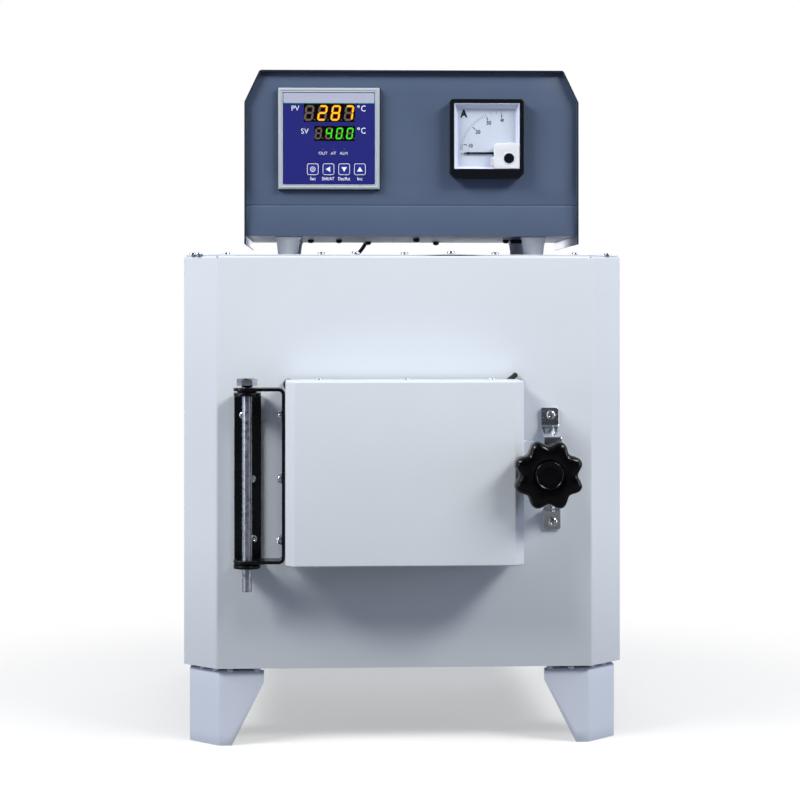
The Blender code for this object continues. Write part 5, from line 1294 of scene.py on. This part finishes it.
# The white cap over the movement: a plate with rounded corners, a raised lug at its top
# and a shoulder at its left foot, and a collar round the screw that zeroes the pointer.
cap_white = moulded("white_meter_cap", "white_plastic", "E2E6EF", 0.34, 0.5)
zero_place = np.array([0.0209, -0.0179])
cap_outline = rounded_path(
    mm([(6.7, -17.4), (3.7, -17.4), (3.7, -24.5), (7.1, -27.9), (30.9, -27.9), (30.9, -3.6),
        (19.7, -1.8), (19.7, -3.6), (6.7, -3.6)]),
    mm([0.6, 0.9, 0.6, 0.8, 0.4, 2.2, 0.5, 0.6, 4.0]), 6, closed=True)
hole, collar = circle(*zero_place, 0.0049, 40, -1), circle(*zero_place, 0.0060, 40)
settle("movement_cap", gathered(
    cut_shapes([cap_outline, hole], meter, 0.0066, 0.0103, 0.0006),
    cut_shapes([cap_outline * 0.98 + zero_place * 0.02], meter, 0.0064, 0.0090),
    cut_shapes([collar, hole], meter, 0.0095, 0.0105, 0.0002)), cap_white, "movement_cover", sharp=40)
dress("zero_screw_moulding", "zero_screw", case_black, 0.0002, 40, body="zero_adjuster")

# ---------------------------------------------------------------- back and insides
# At the back a vented cover of thin sheet keeps hands off the terminals, cable glands
# hold the leads, and pan heads fix the panels. A relay stands in the control box.
dress("terminal_cover_folded", "terminal_cover", cabinet_coat, 0.0003, 50)


def gland(place, facing, radius, length):
    """A cable gland: a hexagon nut, a fluted dome and the hole that the lead comes out of.

    The dome's radius is radius * 0.92 * (1 - 0.028 (1 + cos 12 a)), a the angle round it.
    """
    angle = whole_turn(96)
    flutes = 0.92 * (1 - 0.028 * (1 + np.cos(12 * angle)))[:, None]
    share, height = np.array([(0.62, 0.34), (1, 0.36), (1, 0.42), (1, 0.74), (0.94, 0.86),
                              (0.80, 0.95), (0.62, 0.995), (0.52, 1.0), (0.40, 0.97), (0.38, 0.92),
                              (0.38, 0.70), (0, 0.70)]).T
    dome = round_axis(angle, radius * np.where(share > 0.9, flutes * share, share), height * length,
                      place, facing)
    wide = radius * 1000
    shank = turned_surface([(0, -6), (wide * 0.72, -6), (wide * 0.75, -5.5), (wide * 0.75, 0.2),
                            (0, 0.2)], place, facing, 32)
    return gathered(hex_head(radius * 1.74, length * 0.36, place, facing), dome, shank)


gland_nylon = moulded("black_nylon_moulding", "black_plastic", "15161A", 0.45, 0.6)
back_face = control_back_y - 0.005
for node, place, radius, length, on_box in (
        ("lead_gland_control", (lead_x, back_face + seat_gap, 0.500), 0.006, 0.0117, True),
        ("mains_gland", (0.090, back_face + seat_gap, 0.512), 0.010, 0.0197, True),
        ("lead_gland_furnace", (lead_x, lead_drop_y, 0.3508), 0.006, 0.0117, False),
        ("heater_gland", (0.030, lead_drop_y, 0.3508), 0.010, 0.0197, False)):
    points, faces = gland(place, -outwards if on_box else upwards, radius, length)
    settle(node + "_nylon", (on_control(points) if on_box else points, faces), gland_nylon, node,
           sharp=40)

rear_screws = [(x, back_y + 0.0001, z) for x, z in (
    (-0.195, 0.08), (0.195, 0.08), (-0.195, 0.27), (0.195, 0.27), (-0.195, 0.455), (0.195, 0.455),
    (-0.065, 0.08), (0.065, 0.08), (-0.065, 0.455), (0.065, 0.455))]
box_screws = [(control_shift + x, back_face + 0.0001, z) for x, z in (
    (-0.15, 0.488), (0.15, 0.488), (-0.135, 0.63), (0.135, 0.63), (0, 0.488), (0, 0.632))]
cheek_screws = [(control_shift + side * (control_half + 0.0001), y, 0.4785)
                for side in (-1, 1) for y in (-0.150, -0.030)]
spots = np.vstack([rear_screws, on_control(box_screws + cheek_screws)])
facings = np.array([-outwards] * 16 + [leftwards] * 2 + [-leftwards] * 2)
facings[len(rear_screws):] = facings[len(rear_screws):] @ control_rotation.T
settle("back_screws", repeated((pan_head[0] * 0.85, pan_head[1]), spots, facings,
                               (np.arange(len(spots)) * 1.7) % 1.5), nickel, sharp=40)

# The relay: a moulded base with a cast aluminium heat sink above it, all given the cast aluminium
# finish.
cast_aluminium = metal_finish("cast_aluminium", "8F9194", "B4B6B8", 0.38, 0.52, 5.0)
dress("power_relay_cast", "power_relay", cast_aluminium, 0.0003, 50)
